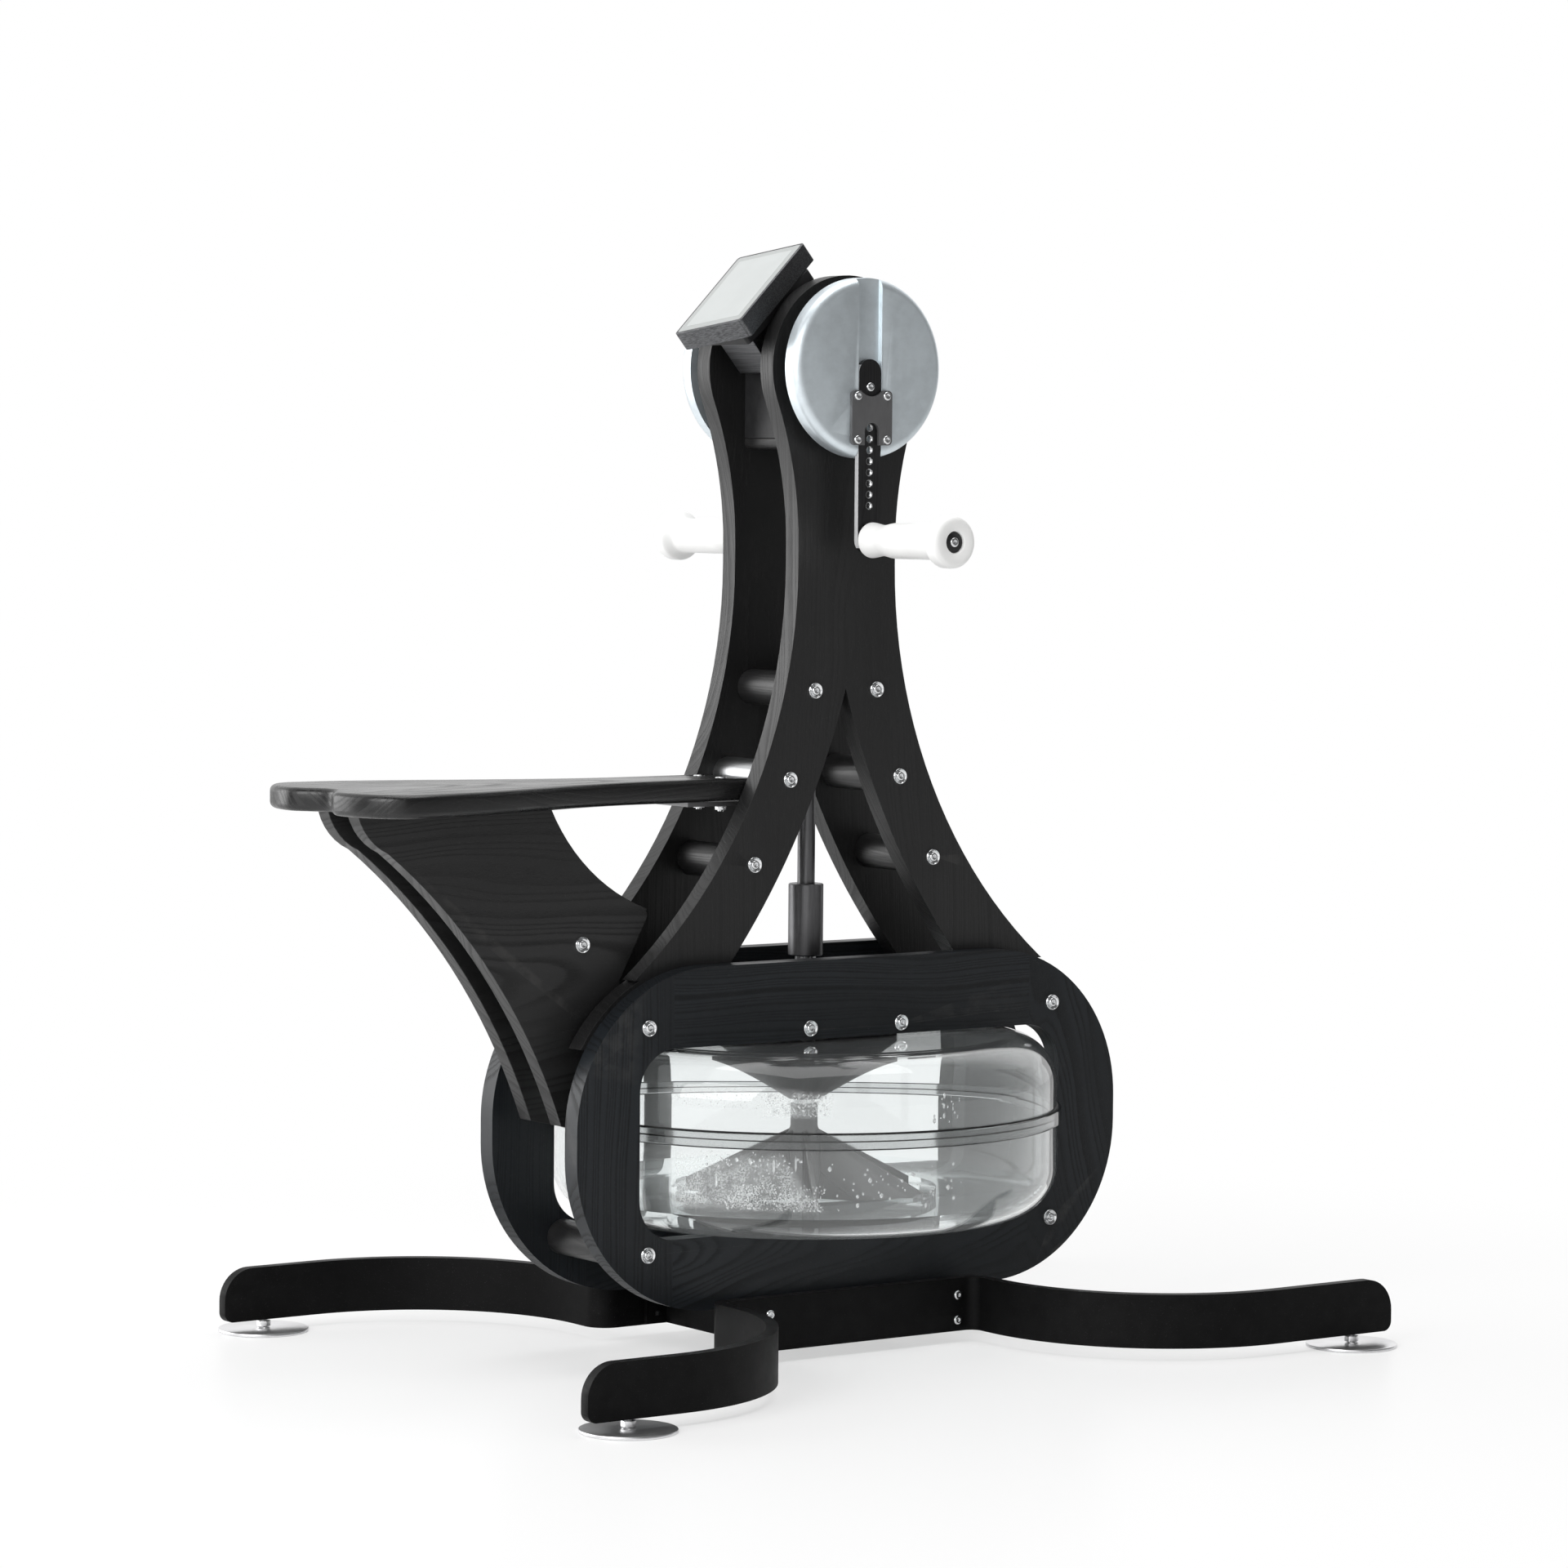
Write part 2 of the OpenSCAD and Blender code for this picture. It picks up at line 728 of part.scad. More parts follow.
module pinion()
    color(dark_metal) placed() translate([0, 0, crank_z]) rotate([180, 0, 0])
        bevel_gear(pinion_r, gear_r, pinion_teeth, shaft_r + fit, 10,
                   180 / pinion_teeth);

module crank_axle()
    color(steel) placed() bar_y([0, crank_z], axle_r, -axle_end, axle_end);

rim_round = 9.5;
drum_boss = [19, drum_gap - 1];
clamp_screw = [2.5, 12];            // shank radius and length
clamp_head = [4.6, 2.4];
clamp_holes = [for (sx = [-1, 1], sz = [-1, 1])
    [sx * plate_hole[0], plate_z + sz * plate_hole[1]]];

// a drum disc with the slot that its crank arm lies in
module drum(side)
    color(aluminium) placed() on_side(side) difference() {
        translate([0, 0, crank_z]) rotate([-90, 0, 0]) {
            rotate_extrude() difference() {
                translate([0, drum_in]) square([drum_r, drum_t]);
                translate([drum_r - rim_round, drum_out - rim_round])
                    corner_waste(rim_round);
            }
            translate([0, 0, drum_in - drum_boss[1]])
                cylinder(r = drum_boss[0], h = drum_boss[1] + 1);
        }
        translate([-arm_w / 2 - slot_play, slot_floor, crank_z - drum_r - 1])
            cube([arm_w + 2 * slot_play, drum_t, 2 * drum_r + 2]);
        bar_y([0, crank_z], axle_r + fit, panel_in - 1, axle_end + slack);
        for (h = clamp_holes)
            bar_y(h, clamp_screw[0] + fit, drum_out - clamp_screw[1], drum_out + 1);
    }

notch = [9, 13.5];                    // lower notch: half width, straight depth
module clamp_plate(side)
    color(dark_metal) placed() on_side(side) difference() {
        slab(drum_out, drum_out + plate_t)
            translate([0, plate_z]) difference() {
                rounded(plate_w, plate_h, 5);
                translate([0, plate_h / 2 + 14]) circle(r = 20);
                translate([-notch[0], -plate_h / 2 - 1])
                    square([2 * notch[0], notch[1] + 1]);
                translate([0, notch[1] - plate_h / 2]) circle(r = notch[0]);
            }
        for (h = clamp_holes)
            bar_y(h, clamp_screw[0] + fit, drum_out - 1, drum_out + plate_t + 1);
    }

module clamp_screws()
    color(steel) placed() for (side = [-1, 1], h = clamp_holes)
        on_side(side)
            socket_screw(h, drum_out + plate_t, clamp_screw[1], clamp_screw[0],
                         clamp_head);

index_z = crank_z - 19;
index_screw = [3, 4.8, 2.4];        // shank radius, head radius and height
hole_top = crank_z - 60;
hole_count = 8;
hole_r = 4;
pin_r = 5;

module arm(side)
    color(black_steel) placed() on_side(side) difference() {
        slab(arm_in, arm_out) {
            translate([-arm_w / 2, grip_z])
                square([arm_w, arm_top - arm_w / 2 - grip_z]);
            for (z = [grip_z, arm_top - arm_w / 2])
                translate([0, z]) circle(d = arm_w);
        }
        for (i = [0:hole_count - 1])
            bar_y([0, hole_top - i * hole_pitch], hole_r, arm_in - 1, arm_out + 1);
        bar_y([0, index_z], index_screw[0] + fit, arm_in - 1, arm_out + 1);
        bar_y([0, grip_z], pin_r + fit, arm_in - 1, arm_out + 1);
    }

grip_out = grip_in + grip_len;
pin_end = grip_out - 5;
end_washer = [8.5, 2];
end_screw = [2.5, 5, 2.4];

// the grip's pin with its collar, the washer and screw that keep the grip
// on it, and the screw at the arm's upper end
module arm_fittings(side)
    color(steel) placed() on_side(side) {
        at = [0, grip_z];
        difference() {
            union() {
                bar_y(at, pin_r, arm_in, pin_end);
                bar_y(at, 9, arm_out, grip_in - slack);
            }
            bar_y(at, end_screw[0] + fit, pin_end - 14, pin_end + 1);
        }
        difference() {
            bar_y(at, end_washer[0], pin_end, pin_end + end_washer[1]);
            bar_y(at, end_screw[0] + fit, pin_end - 1, pin_end + 3);
        }
        socket_screw(at, pin_end + end_washer[1], 14, end_screw[0],
                     [end_screw[1], end_screw[2]]);
        socket_screw([0, index_z], arm_out, arm_t, index_screw[0],
                     [index_screw[1], index_screw[2]]);
    }

// a smooth step from 0 to 1
function ease(t) = let(c = min(max(t, 0), 1)) c * c * (3 - 2 * c);

waist_at = 22;                      // from a grip's flange to its waist
waist_cut = 2.4;                    // how much slimmer the waist is
knob_len = 27;                      // from where the knob starts to the end
knob_rise = 12;                     // the length in which it reaches its radius
knob_round = 6;

// radius of the grip at y from its flange
function grip_radius(y) = grip_r
    - waist_cut * (ease(y / waist_at) - ease(y / waist_at - 1))
    + (knob_r - grip_r) * ease((y - grip_len + knob_len) / knob_rise);

module grip(side)
    color(white_plastic) placed() on_side(side) translate([0, grip_in, grip_z]) rotate([-90, 0, 0])
        difference() {
            rotate_extrude() polygon(concat(
                [[0, 0]],
                [for (i = [0:8]) let(y = 2 * waist_at * i / 8) [grip_radius(y), y]],
                [for (i = [0:6]) let(y = grip_len - knob_len + knob_rise * i / 6)
                    [grip_radius(y), y]],
                arc([knob_r - knob_round, grip_len - knob_round], knob_round,
                    0, 90, 6),
                [[0, grip_len]]));
            translate([0, 0, -1]) cylinder(r = pin_r + run, h = grip_len + 2);
            translate([0, 0, grip_len - 6])
                cylinder(r = end_washer[0] + slack, h = 7);
        }

// ---- gearbox and bearings ----

housing_z = board_z + board_t;
housing_top = housing_z + housing_h;

module gearbox_housing()
    color(black_plastic) placed() difference() {
        translate([-housing_half, -upright_in, housing_z])
            cube([2 * housing_half, 2 * upright_in, housing_h]);
        translate([housing_wall - housing_half, housing_wall - upright_in,
                   housing_z - 1])
            cube([2 * (housing_half - housing_wall),
                  2 * (upright_in - housing_wall),
                  housing_h - housing_wall + 1]);
        bar_y([0, crank_z], axle_r + 4, -upright_in - 1, upright_in + 1);
    }

board_round = 6;
module gearbox_board()
    color(stained_ash) placed() difference() {
        slab(-upright_in, upright_in)
            difference() {
                translate([-housing_half, board_z])
                    square([2 * housing_half, board_t]);
                for (sx = [0, 1])
                    mirror([sx, 0])
                        translate([housing_half - board_round,
                                   board_z + board_round])
                            mirror([0, 1]) corner_waste(board_round);
            }
        translate([0, 0, board_z - 1])
            cylinder(r = shaft_bearing_r + fit, h = board_t + 2);
    }

module shaft_bearing()
    color(steel) placed() ring(shaft_r + run, shaft_bearing_r, board_z, board_t);

module head_bearings()
    color(steel) placed() for (side = [-1, 1])
        on_side(side) difference() {
            bar_y([0, crank_z], bearing_r, upright_in + 1, panel_in - 1);
            bar_y([0, crank_z], axle_r + run, upright_in, panel_in);
        }

// ---- monitor ----

monitor_back = monitor_t + plate_gap;
block_v = [-38, 35];                // the block's edges on the backing plate
block_len = 44;
block_half = 30;

// a point in X and Z at v up the monitor's face and n out of it
function on_monitor(v, n) = monitor_at
    + v * [cos(monitor_tilt), sin(monitor_tilt)]
    + n * [-sin(monitor_tilt), cos(monitor_tilt)];

// draws around the middle of the monitor's face: +X to the user's right,
// +Y up the face, +Z out of it
module at_monitor(turn)
    translate([monitor_at[0], 0, monitor_at[1]])
        rotate([0, -monitor_tilt, 0]) rotate([0, 0, turn - 90]) children();

module monitor_block() {
    face_n = -monitor_back - backing_t - run;
    low = on_monitor(block_v[0], face_n);
    high = on_monitor(block_v[1], face_n);
    heel = low + block_len * [sin(monitor_tilt), -cos(monitor_tilt)];
    color(black_plastic) placed() slab(-block_half, block_half) polygon([
        low, heel, [-housing_half, heel[1]], [-housing_half, housing_top],
        [high[0] + (high[1] - housing_top) * tan(monitor_tilt), housing_top],
        high]);
}

plate_size = [78, 106];
module monitor_plate()
    color(black_plastic) placed() at_monitor(0) {
        translate([0, 5, -monitor_back - backing_t])
            linear_extrude(backing_t) rounded(plate_size[0], plate_size[1], 4);
        translate([0, 0, -monitor_back - 1]) cylinder(r = swivel_r, h = 9);
    }

screen_t = 2;
screen_frame = 6;
module monitor_case()
    color(black_plastic) placed() at_monitor(monitor_turn) difference() {
        translate([0, 0, -monitor_t]) linear_extrude(monitor_t)
            rounded(monitor_w, monitor_h, 4);
        translate([0, 0, -screen_t - fit]) linear_extrude(screen_t + 1)
            rounded(monitor_w - 2 * screen_frame + 2 * fit,
                    monitor_h - 2 * screen_frame + 2 * fit, 3);
        translate([0, 0, -monitor_t - 1]) cylinder(r = swivel_r + run, h = 10);
    }

module monitor_screen()
    color(screen_grey) placed() at_monitor(monitor_turn)
        translate([0, 0, -screen_t]) linear_extrude(screen_t - 0.6)
            rounded(monitor_w - 2 * screen_frame, monitor_h - 2 * screen_frame, 3);

// ---- seat ----

neck_half_w = upright_in - 2;       // the neck passes between the uprights
flare = [215, 540];                 // where the seat widens: start and end
lobe_y = 48;                        // from the middle to a lobe's rearmost point
notch_d = 24;                       // depth of the notch between the lobes

// one half of the seat's outline, from the front end to the rear notch
function seat_half() = concat(
    [[-seat_front, 0], [-seat_front, neck_half_w]],
    [for (i = [0:16]) let(t = i / 16)
        [-flare[0] - t * (flare[1] - flare[0]),
         neck_half_w + (seat_w / 2 - neck_half_w) * ease(t)]],
    [for (i = [1:12]) let(a = 90 * i / 12)
        [-flare[1] - (seat_reach - flare[1]) * sin(a),
         lobe_y + (seat_w / 2 - lobe_y) * cos(a)]],
    [for (i = [1:10]) let(y = lobe_y * (1 - i / 10))
        [-seat_reach + notch_d * (1 + cos(180 * y / lobe_y)) / 2, y]]);

function flipped(p) = [for (q = reversed(p)) [q[0], -q[1]]];

// [distance from the shaft, distance from the middle] of the seat's screws,
// their heads' [radius, height], and the counterbores that the heads sit in
seat_screw_at = [121, 19.5];
seat_head = [6, 2.4];
seat_sink = 1.2;
sink_gap = 0.4;

module seat_board()
    color(stained_ash) placed() difference() {
        translate([0, 0, seat_low]) linear_extrude(seat_t)
            polygon(concat(seat_half(), flipped(seat_half())));
        for (side = [-1, 1])
            translate([-seat_screw_at[0], side * seat_screw_at[1], seat_low - 1]) {
                cylinder(r = screw_r + fit, h = seat_t + 2);
                translate([0, 0, 1 + seat_t - seat_sink])
                    cylinder(r = seat_head[0] + sink_gap, h = seat_sink + 1);
            }
    }

// a gusset's outline: [x, z] from the upper rear corner round to the front
eye_r = 31;
function gusset_points() =
    let(nose = [-557, seat_low], shoulder = [-523, seat_low - 39],
        toe = [-322.5, 245.5],
        front_top = [-336.5, seat_low], front_tip = [-222.5, 458])
    concat(
        bow(nose, shoulder, 60, 6),
        bow(shoulder, toe, -610, 18),
        [[-300, 240.5], [-284, upper_bolt_z - 12],
         [-corner_bolt_x, upper_bolt_z], [-254.5, 387]],
        arc([-227.5, 451], 6, -30, 45, 4),
        bow(front_tip, front_top, -202, 12));

module gusset(side)
    color(stained_ash) placed() on_side(side) difference() {
        slab(gusset_in, gusset_out) {
            polygon(gusset_points());
            translate([-corner_bolt_x, upper_bolt_z]) circle(r = eye_r);
        }
        bar_y([-corner_bolt_x, upper_bolt_z], dowel_r + fit,
              gusset_in - 1, gusset_out + 1);
        bar_y(gusset_bolt, screw_r + fit, gusset_in - 1, gusset_out + 1);
    }

module gusset_spacer()
    color(dark_wood) placed() cross_bar(gusset_bolt, 12.5, gusset_in);

module seat_batten()
    color(stained_ash) placed() translate([-500, -gusset_in, seat_low - 22]) cube([130, 2 * gusset_in, 22]);

// the steel saddle under the seat bar, with a plate under the seat's neck
bracket_half = 30;
bracket_t = 5;
module seat_bracket() {
    at = [-bar_middle[0], bar_middle[1]];
    plate_low = seat_low - bracket_t;
    color(dark_metal) placed() difference() {
        slab(-bracket_half, bracket_half) {
            translate([-168, plate_low]) square([118, bracket_t]);
            translate([at[0] - 20, plate_low]) square([40, bracket_t + 6]);
            intersection() {
                translate(at) circle(r = dowel_r + bracket_t);
                translate([at[0] - 40, plate_low])
                    square([80, at[1] - 2 - plate_low]);
            }
        }
        bar_y(at, dowel_r + fit, -bracket_half - 1, bracket_half + 1);
        for (side = [-1, 1])
            translate([-seat_screw_at[0], side * seat_screw_at[1], plate_low - 1])
                cylinder(r = screw_r + fit, h = bracket_t + 2);
    }
}

module seat_screws()
    color(steel) placed() for (side = [-1, 1])
        translate([-seat_screw_at[0], side * seat_screw_at[1], seat_z]) {
            translate([0, 0, -seat_sink])
                cylinder(r = seat_head[0], h = seat_head[1]);
            translate([0, 0, -seat_t - bracket_t - 6])
                cylinder(r = screw_r, h = seat_t + bracket_t + 6 - seat_sink);
            translate([0, 0, -seat_t - bracket_t - 4.5]) difference() {
                cylinder(d = 10 / cos(30), h = 4.4, $fn = 6);
                translate([0, 0, -1]) cylinder(r = screw_r + run, h = 7);
            }
        }

// ---- the nodes ----

panel(-1);  // panel_right
panel(1);  // panel_left
upright(-1);  // upright_right
upright(1);  // upright_left
panel_dowels();
upright_dowels();
seat_bar();
tank_bars();
frame_screws();
cup_washers();
base_bar(-1);  // base_bar_right
base_bar(1);  // base_bar_left
cross_channel(-1);  // cross_channel_rear
cross_channel(1);  // cross_channel_front
base_screws();
foot(foot_x[0], -1);  // foot_rear_right
foot(foot_x[0], 1);  // foot_rear_left
foot(foot_x[1], -1);  // foot_front_right
foot(foot_x[1], 1);  // foot_front_left
tank_lower();
tank_upper();
tank_band();
tank_gasket();
water();
bearing_cone();
tank_cushions();
fill_plug();
drive_shaft();
coupling_sleeve();
tank_shaft();
paddle();
pinion();
crank_gear();
crank_axle();
drum(-1);  // drum_right
drum(1);  // drum_left
clamp_plate(-1);  // clamp_plate_right
clamp_plate(1);  // clamp_plate_left
clamp_screws();
arm(-1);  // arm_right
arm(1);  // arm_left
arm_fittings(-1);  // arm_fittings_right
arm_fittings(1);  // arm_fittings_left
grip(-1);  // grip_right
grip(1);  // grip_left
gearbox_housing();
gearbox_board();
head_bearings();
shaft_bearing();
monitor_block();
monitor_plate();
monitor_case();
monitor_screen();
seat_board();
gusset(-1);  // gusset_right
gusset(1);  // gusset_left
gusset_spacer();
seat_bracket();
seat_screws();
seat_batten();
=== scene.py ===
"""Looks of an upper-body crank trainer that turns a paddle in a water tank.

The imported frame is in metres: +Z up, the seat towards -X and the user's right
hand towards -Y. The paddle shaft stands on x = SHAFT_X. Outlines, places and
the sub-assemblies' size fields are in millimetres, places from that shaft;
finishes and the studio keep to metres.
"""

import json
import logging
import math
import random
from collections.abc import Callable, Iterable, Sequence
from dataclasses import dataclass
from enum import Enum
from typing import ClassVar

import bmesh
import bpy
from mathutils import Matrix, Vector

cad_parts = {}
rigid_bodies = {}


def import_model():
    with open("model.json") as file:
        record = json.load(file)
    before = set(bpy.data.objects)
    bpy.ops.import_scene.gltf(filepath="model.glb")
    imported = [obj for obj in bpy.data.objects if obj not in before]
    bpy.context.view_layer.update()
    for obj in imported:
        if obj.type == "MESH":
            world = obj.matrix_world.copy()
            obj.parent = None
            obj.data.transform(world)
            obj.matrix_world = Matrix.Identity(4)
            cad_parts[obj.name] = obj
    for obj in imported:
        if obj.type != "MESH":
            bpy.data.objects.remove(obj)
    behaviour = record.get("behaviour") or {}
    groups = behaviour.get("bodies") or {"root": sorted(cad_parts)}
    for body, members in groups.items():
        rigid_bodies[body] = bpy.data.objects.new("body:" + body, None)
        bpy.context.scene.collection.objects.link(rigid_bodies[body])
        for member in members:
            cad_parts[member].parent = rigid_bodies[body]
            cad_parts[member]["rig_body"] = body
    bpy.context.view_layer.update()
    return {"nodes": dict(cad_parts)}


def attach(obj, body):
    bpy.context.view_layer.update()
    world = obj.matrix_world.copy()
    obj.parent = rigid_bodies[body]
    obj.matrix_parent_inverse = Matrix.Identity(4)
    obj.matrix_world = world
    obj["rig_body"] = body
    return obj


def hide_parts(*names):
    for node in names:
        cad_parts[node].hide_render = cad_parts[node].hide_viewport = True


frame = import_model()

log = logging.getLogger("crank_trainer")

MM = 1000.0
SHAFT_X = 0.044
PANEL_MIDDLE = 78.0
# The level way from the camera to the machine.
BEHIND = (0.5783, 0.8158, 0.0)

Colour = tuple[float, float, float]
Point = tuple[float, float, float]
Span = tuple[float, float]
Profile = Sequence[Span]
Feed = float | tuple | bpy.types.NodeSocket
Sockets = dict[str, Feed]


class Side(Enum):
    """The user's right hand is towards -Y."""

    RIGHT = -1
    LEFT = 1


class Grain(Enum):
    """The way a board's grain runs, as the turn that brings it onto X."""

    ALONG_X = (0.0, 0.0, 0.0)
    ALONG_Y = (0.0, 0.0, -90.0)
    ALONG_Z = (0.0, 90.0, 0.0)
    FLAT_X = (90.0, 0.0, 0.0)


def shaft_point(x: float, y: float, z: float) -> Point:
    """Millimetres from the shaft's axis, as a point in the frame."""
    return (SHAFT_X + x / MM, y / MM, z / MM)


def standing(x: float, y: float, z: float) -> Matrix:
    """Moves a shape drawn at the origin to a place by the shaft."""
    return Matrix.Translation(shaft_point(x, y, z))


def facing(side: Side, x: float, out: float, z: float) -> Matrix:
    """Stands a shape drawn on +Z on a face that looks out to a side."""
    turn = Matrix.Rotation(math.radians(-90.0 * side.value), 4, "X")
    return standing(x, side.value * out, z) @ turn


# ---- node trees ----


class Graph:
    """Adds nodes to one node tree and joins them."""

    groups: ClassVar[dict[Callable, bpy.types.NodeTree]] = {}

    def __init__(self, tree: bpy.types.NodeTree) -> None:
        """Keeps the tree that the nodes go into."""
        self.tree = tree

    @classmethod
    def emptied(cls, owner: bpy.types.Material | bpy.types.World) -> "Graph":
        """Gives the node tree of a material or world, with nothing in it."""
        owner.use_nodes = True
        owner.node_tree.nodes.clear()
        return cls(owner.node_tree)

    def feed(self, value: Feed, target: bpy.types.NodeSocket) -> None:
        """Joins a socket to the target, or sets a plain value on it."""
        if isinstance(value, bpy.types.NodeSocket):
            self.tree.links.new(value, target)
        else:
            target.default_value = value

    def node(self, kind: str, given: dict | None = None, **settings: object) -> bpy.types.Node:
        """Adds one node.

        Args:
            kind: the node's type, such as "ShaderNodeMath".
            given: what its input sockets take, by name or number.
            **settings: properties to set on it.

        Returns:
            The new node.
        """
        made = self.tree.nodes.new(kind)
        for name, value in settings.items():
            setattr(made, name, value)
        for socket, value in (given or {}).items():
            self.feed(value, made.inputs[socket])
        return made

    def math(self, operation: str, *values: Feed) -> bpy.types.NodeSocket:
        """Adds a Math node and returns its result."""
        return self.node("ShaderNodeMath", dict(enumerate(values)), operation=operation).outputs[0]

    def times(self, one: Feed, other: Feed) -> bpy.types.NodeSocket:
        """Multiplies two values."""
        return self.math("MULTIPLY", one, other)

    def plus(self, one: Feed, *others: Feed) -> bpy.types.NodeSocket:
        """Adds values up."""
        for other in others:
            one = self.math("ADD", one, other)
        return one

    def vector(self, operation: str, *values: Feed) -> bpy.types.NodeSocket:
        """Adds a Vector Math node and returns its result."""
        made = self.node("ShaderNodeVectorMath", dict(enumerate(values)), operation=operation)
        return made.outputs["Value" if operation in ("LENGTH", "DOT_PRODUCT") else "Vector"]

    def span(
        self, value: Feed, low: float, high: float, start: float = 0.0, end: float = 1.0
    ) -> bpy.types.NodeSocket:
        """Maps low..high smoothly onto start..end.

        Args:
            value: what is mapped.
            low: where the step begins.
            high: where it ends.
            start: the result below low.
            end: the result above high.

        Returns:
            The mapped value's socket.
        """
        given = dict(enumerate((value, low, high, start, end)))
        return self.node("ShaderNodeMapRange", given, interpolation_type="SMOOTHSTEP").outputs[0]

    def noise(
        self, where: Feed, scale: float | Point, detail: float = 2.0, rough: float = 0.5
    ) -> bpy.types.NodeSocket:
        """Adds a Noise Texture.

        Args:
            where: the position.
            scale: its scale, or one for each axis.
            detail: its detail.
            rough: its roughness.

        Returns:
            The noise's value.
        """
        if isinstance(scale, tuple):
            where, scale = self.vector("MULTIPLY", where, scale), 1.0
        given = {"Vector": where, "Scale": scale, "Detail": detail, "Roughness": rough}
        return self.node("ShaderNodeTexNoise", given).outputs[0]

    def blend(self, share: Feed, low: Feed, high: Feed, way: str = "MIX") -> bpy.types.NodeSocket:
        """Mixes two colours and returns the mixture."""
        low, high = ((*c, 1.0) if isinstance(c, tuple) else c for c in (low, high))
        given = {0: share, 6: low, 7: high}
        return self.node("ShaderNodeMix", given, data_type="RGBA", blend_type=way).outputs[2]

    def shaded(self, colour: Colour, shade: Feed) -> bpy.types.NodeSocket:
        """Multiplies a colour by a plain value."""
        grey = self.node("ShaderNodeCombineColor", dict.fromkeys(range(3), shade))
        return self.blend(1.0, colour, grey.outputs[0], "MULTIPLY")

    def place(
        self, turn: Grain = Grain.ALONG_X, centre: Point = (SHAFT_X, 0.0, 0.0)
    ) -> bpy.types.NodeSocket:
        """Gives the object's own position, centred on a piece and turned.

        Args:
            turn: the way of the grain.
            centre: what becomes the origin.

        Returns:
            The position's socket.
        """
        where = self.node("ShaderNodeTexCoord").outputs["Object"]
        given = {"Vector": self.vector("SUBTRACT", where, centre),
                 "Rotation": tuple(math.radians(a) for a in turn.value)}
        return self.node("ShaderNodeMapping", given).outputs[0]

    def bump(self, height: Feed, distance: float, strength: float = 1.0) -> bpy.types.NodeSocket:
        """Makes a normal of a height, which is the distance in metres at 1."""
        given = {"Strength": strength, "Distance": distance, "Height": height}
        return self.node("ShaderNodeBump", given).outputs[0]

    def effect(
        self, fill: Callable[["Graph", Sockets], Sockets], where: Feed, **values: Feed
    ) -> Sockets:
        """Places a shared effect, whose node group is built the first time.

        Args:
            fill: adds the effect's nodes and names what they give.
            where: the position that it works on.
            **values: the group's other inputs.

        Returns:
            What the effect gives, by name.
        """
        given = {"Position": where, **values}
        if fill not in Graph.groups:
            tree = bpy.data.node_groups.new(fill.__name__.replace("_", " "), "ShaderNodeTree")
            for name in given:
                kind = "NodeSocketVector" if name == "Position" else "NodeSocketFloat"
                tree.interface.new_socket(name=name, in_out="INPUT", socket_type=kind)
            inner = Graph(tree)
            found = fill(inner, inner.node("NodeGroupInput").outputs)
            for name in found:
                tree.interface.new_socket(
                    name=name, in_out="OUTPUT", socket_type="NodeSocketFloat"
                )
            inner.node("NodeGroupOutput", found)
            Graph.groups[fill] = tree
        return self.node("ShaderNodeGroup", given, node_tree=Graph.groups[fill]).outputs


def wood_figure(graph: Graph, ins: Sockets) -> Sockets:
    """Growth rings, open pores and slow drift, with the log's heart on X."""
    where = ins["Position"]
    # The log bends slowly along its length, so its rings end in arches.
    slow = graph.vector("MULTIPLY", where, (2.2, 9.0, 9.0))
    given = {"Vector": slow, "Scale": 1.0, "Detail": 2.0}
    wander = graph.node("ShaderNodeTexNoise", given).outputs["Color"]
    pushed = graph.vector("SUBTRACT", wander, (0.5, 0.5, 0.5))
    pushed = graph.vector("MULTIPLY", pushed, (0.0, 0.046, 0.046))
    across = graph.vector("MULTIPLY", graph.vector("ADD", where, pushed), (0.0, 1.0, 1.0))
    fray = graph.math("SUBTRACT", graph.noise(where, (26.0, 420.0, 420.0), 2.0, 0.6), 0.5)
    reach = graph.plus(graph.vector("LENGTH", across), graph.times(fray, 0.0011))
    # Good and lean years follow each other; late wood is the dark band.
    years = graph.math("DIVIDE", reach, ins["Ring"])
    rich = graph.times(graph.math("SINE", graph.times(years, 1.7)), 0.42)
    lean = graph.times(graph.math("SINE", graph.times(years, 0.61)), 0.40)
    ring = graph.math("FRACT", graph.plus(years, graph.plus(rich, lean)))
    band = graph.times(graph.span(ring, 0.0, 0.14), graph.span(ring, 0.14, 0.62, 1.0, 0.0))
    # The pores are long and fine, and crowd where a year ends.
    pores = graph.span(graph.noise(where, (38.0, 1500.0, 1500.0), 2.0, 0.7), 0.52, 0.70)
    pores = graph.times(pores, graph.span(band, 0.05, 0.6, 0.25, 1.0))
    return {"Rings": band, "Pores": pores, "Drift": graph.noise(slow, 1.4, 3.0, 0.55)}


def fine_grain(graph: Graph, ins: Sockets) -> Sockets:
    """The fine speckle of moulded plastic, powder coat and cast skin."""
    given = {0: ins["Position"], "Scale": ins["Pitch"]}
    where = graph.node("ShaderNodeVectorMath", given, operation="SCALE").outputs[0]
    given = {"Vector": where, "Scale": 1.0}
    cells = graph.node("ShaderNodeTexVoronoi", given, feature="SMOOTH_F1").outputs["Distance"]
    height = graph.plus(cells, graph.noise(where, 0.43, 3.0, 0.6))
    return {"Height": height, "Tone": graph.noise(where, 0.02, 3.0, 0.6)}


def handling(graph: Graph, ins: Sockets) -> Sockets:
    """Faint smudges and dust, and hairline scratches."""
    where = ins["Position"]
    lines = graph.noise(where, (30.0, 900.0, 60.0), 2.0, 0.7)
    return {
        "Smudge": graph.span(graph.noise(where, 14.0, 4.0, 0.62), 0.42, 0.72),
        "Dust": graph.span(graph.noise(where, 900.0, 2.0, 0.5), 0.66, 0.74),
        "Scratch": graph.span(lines, 0.66, 0.72),
    }


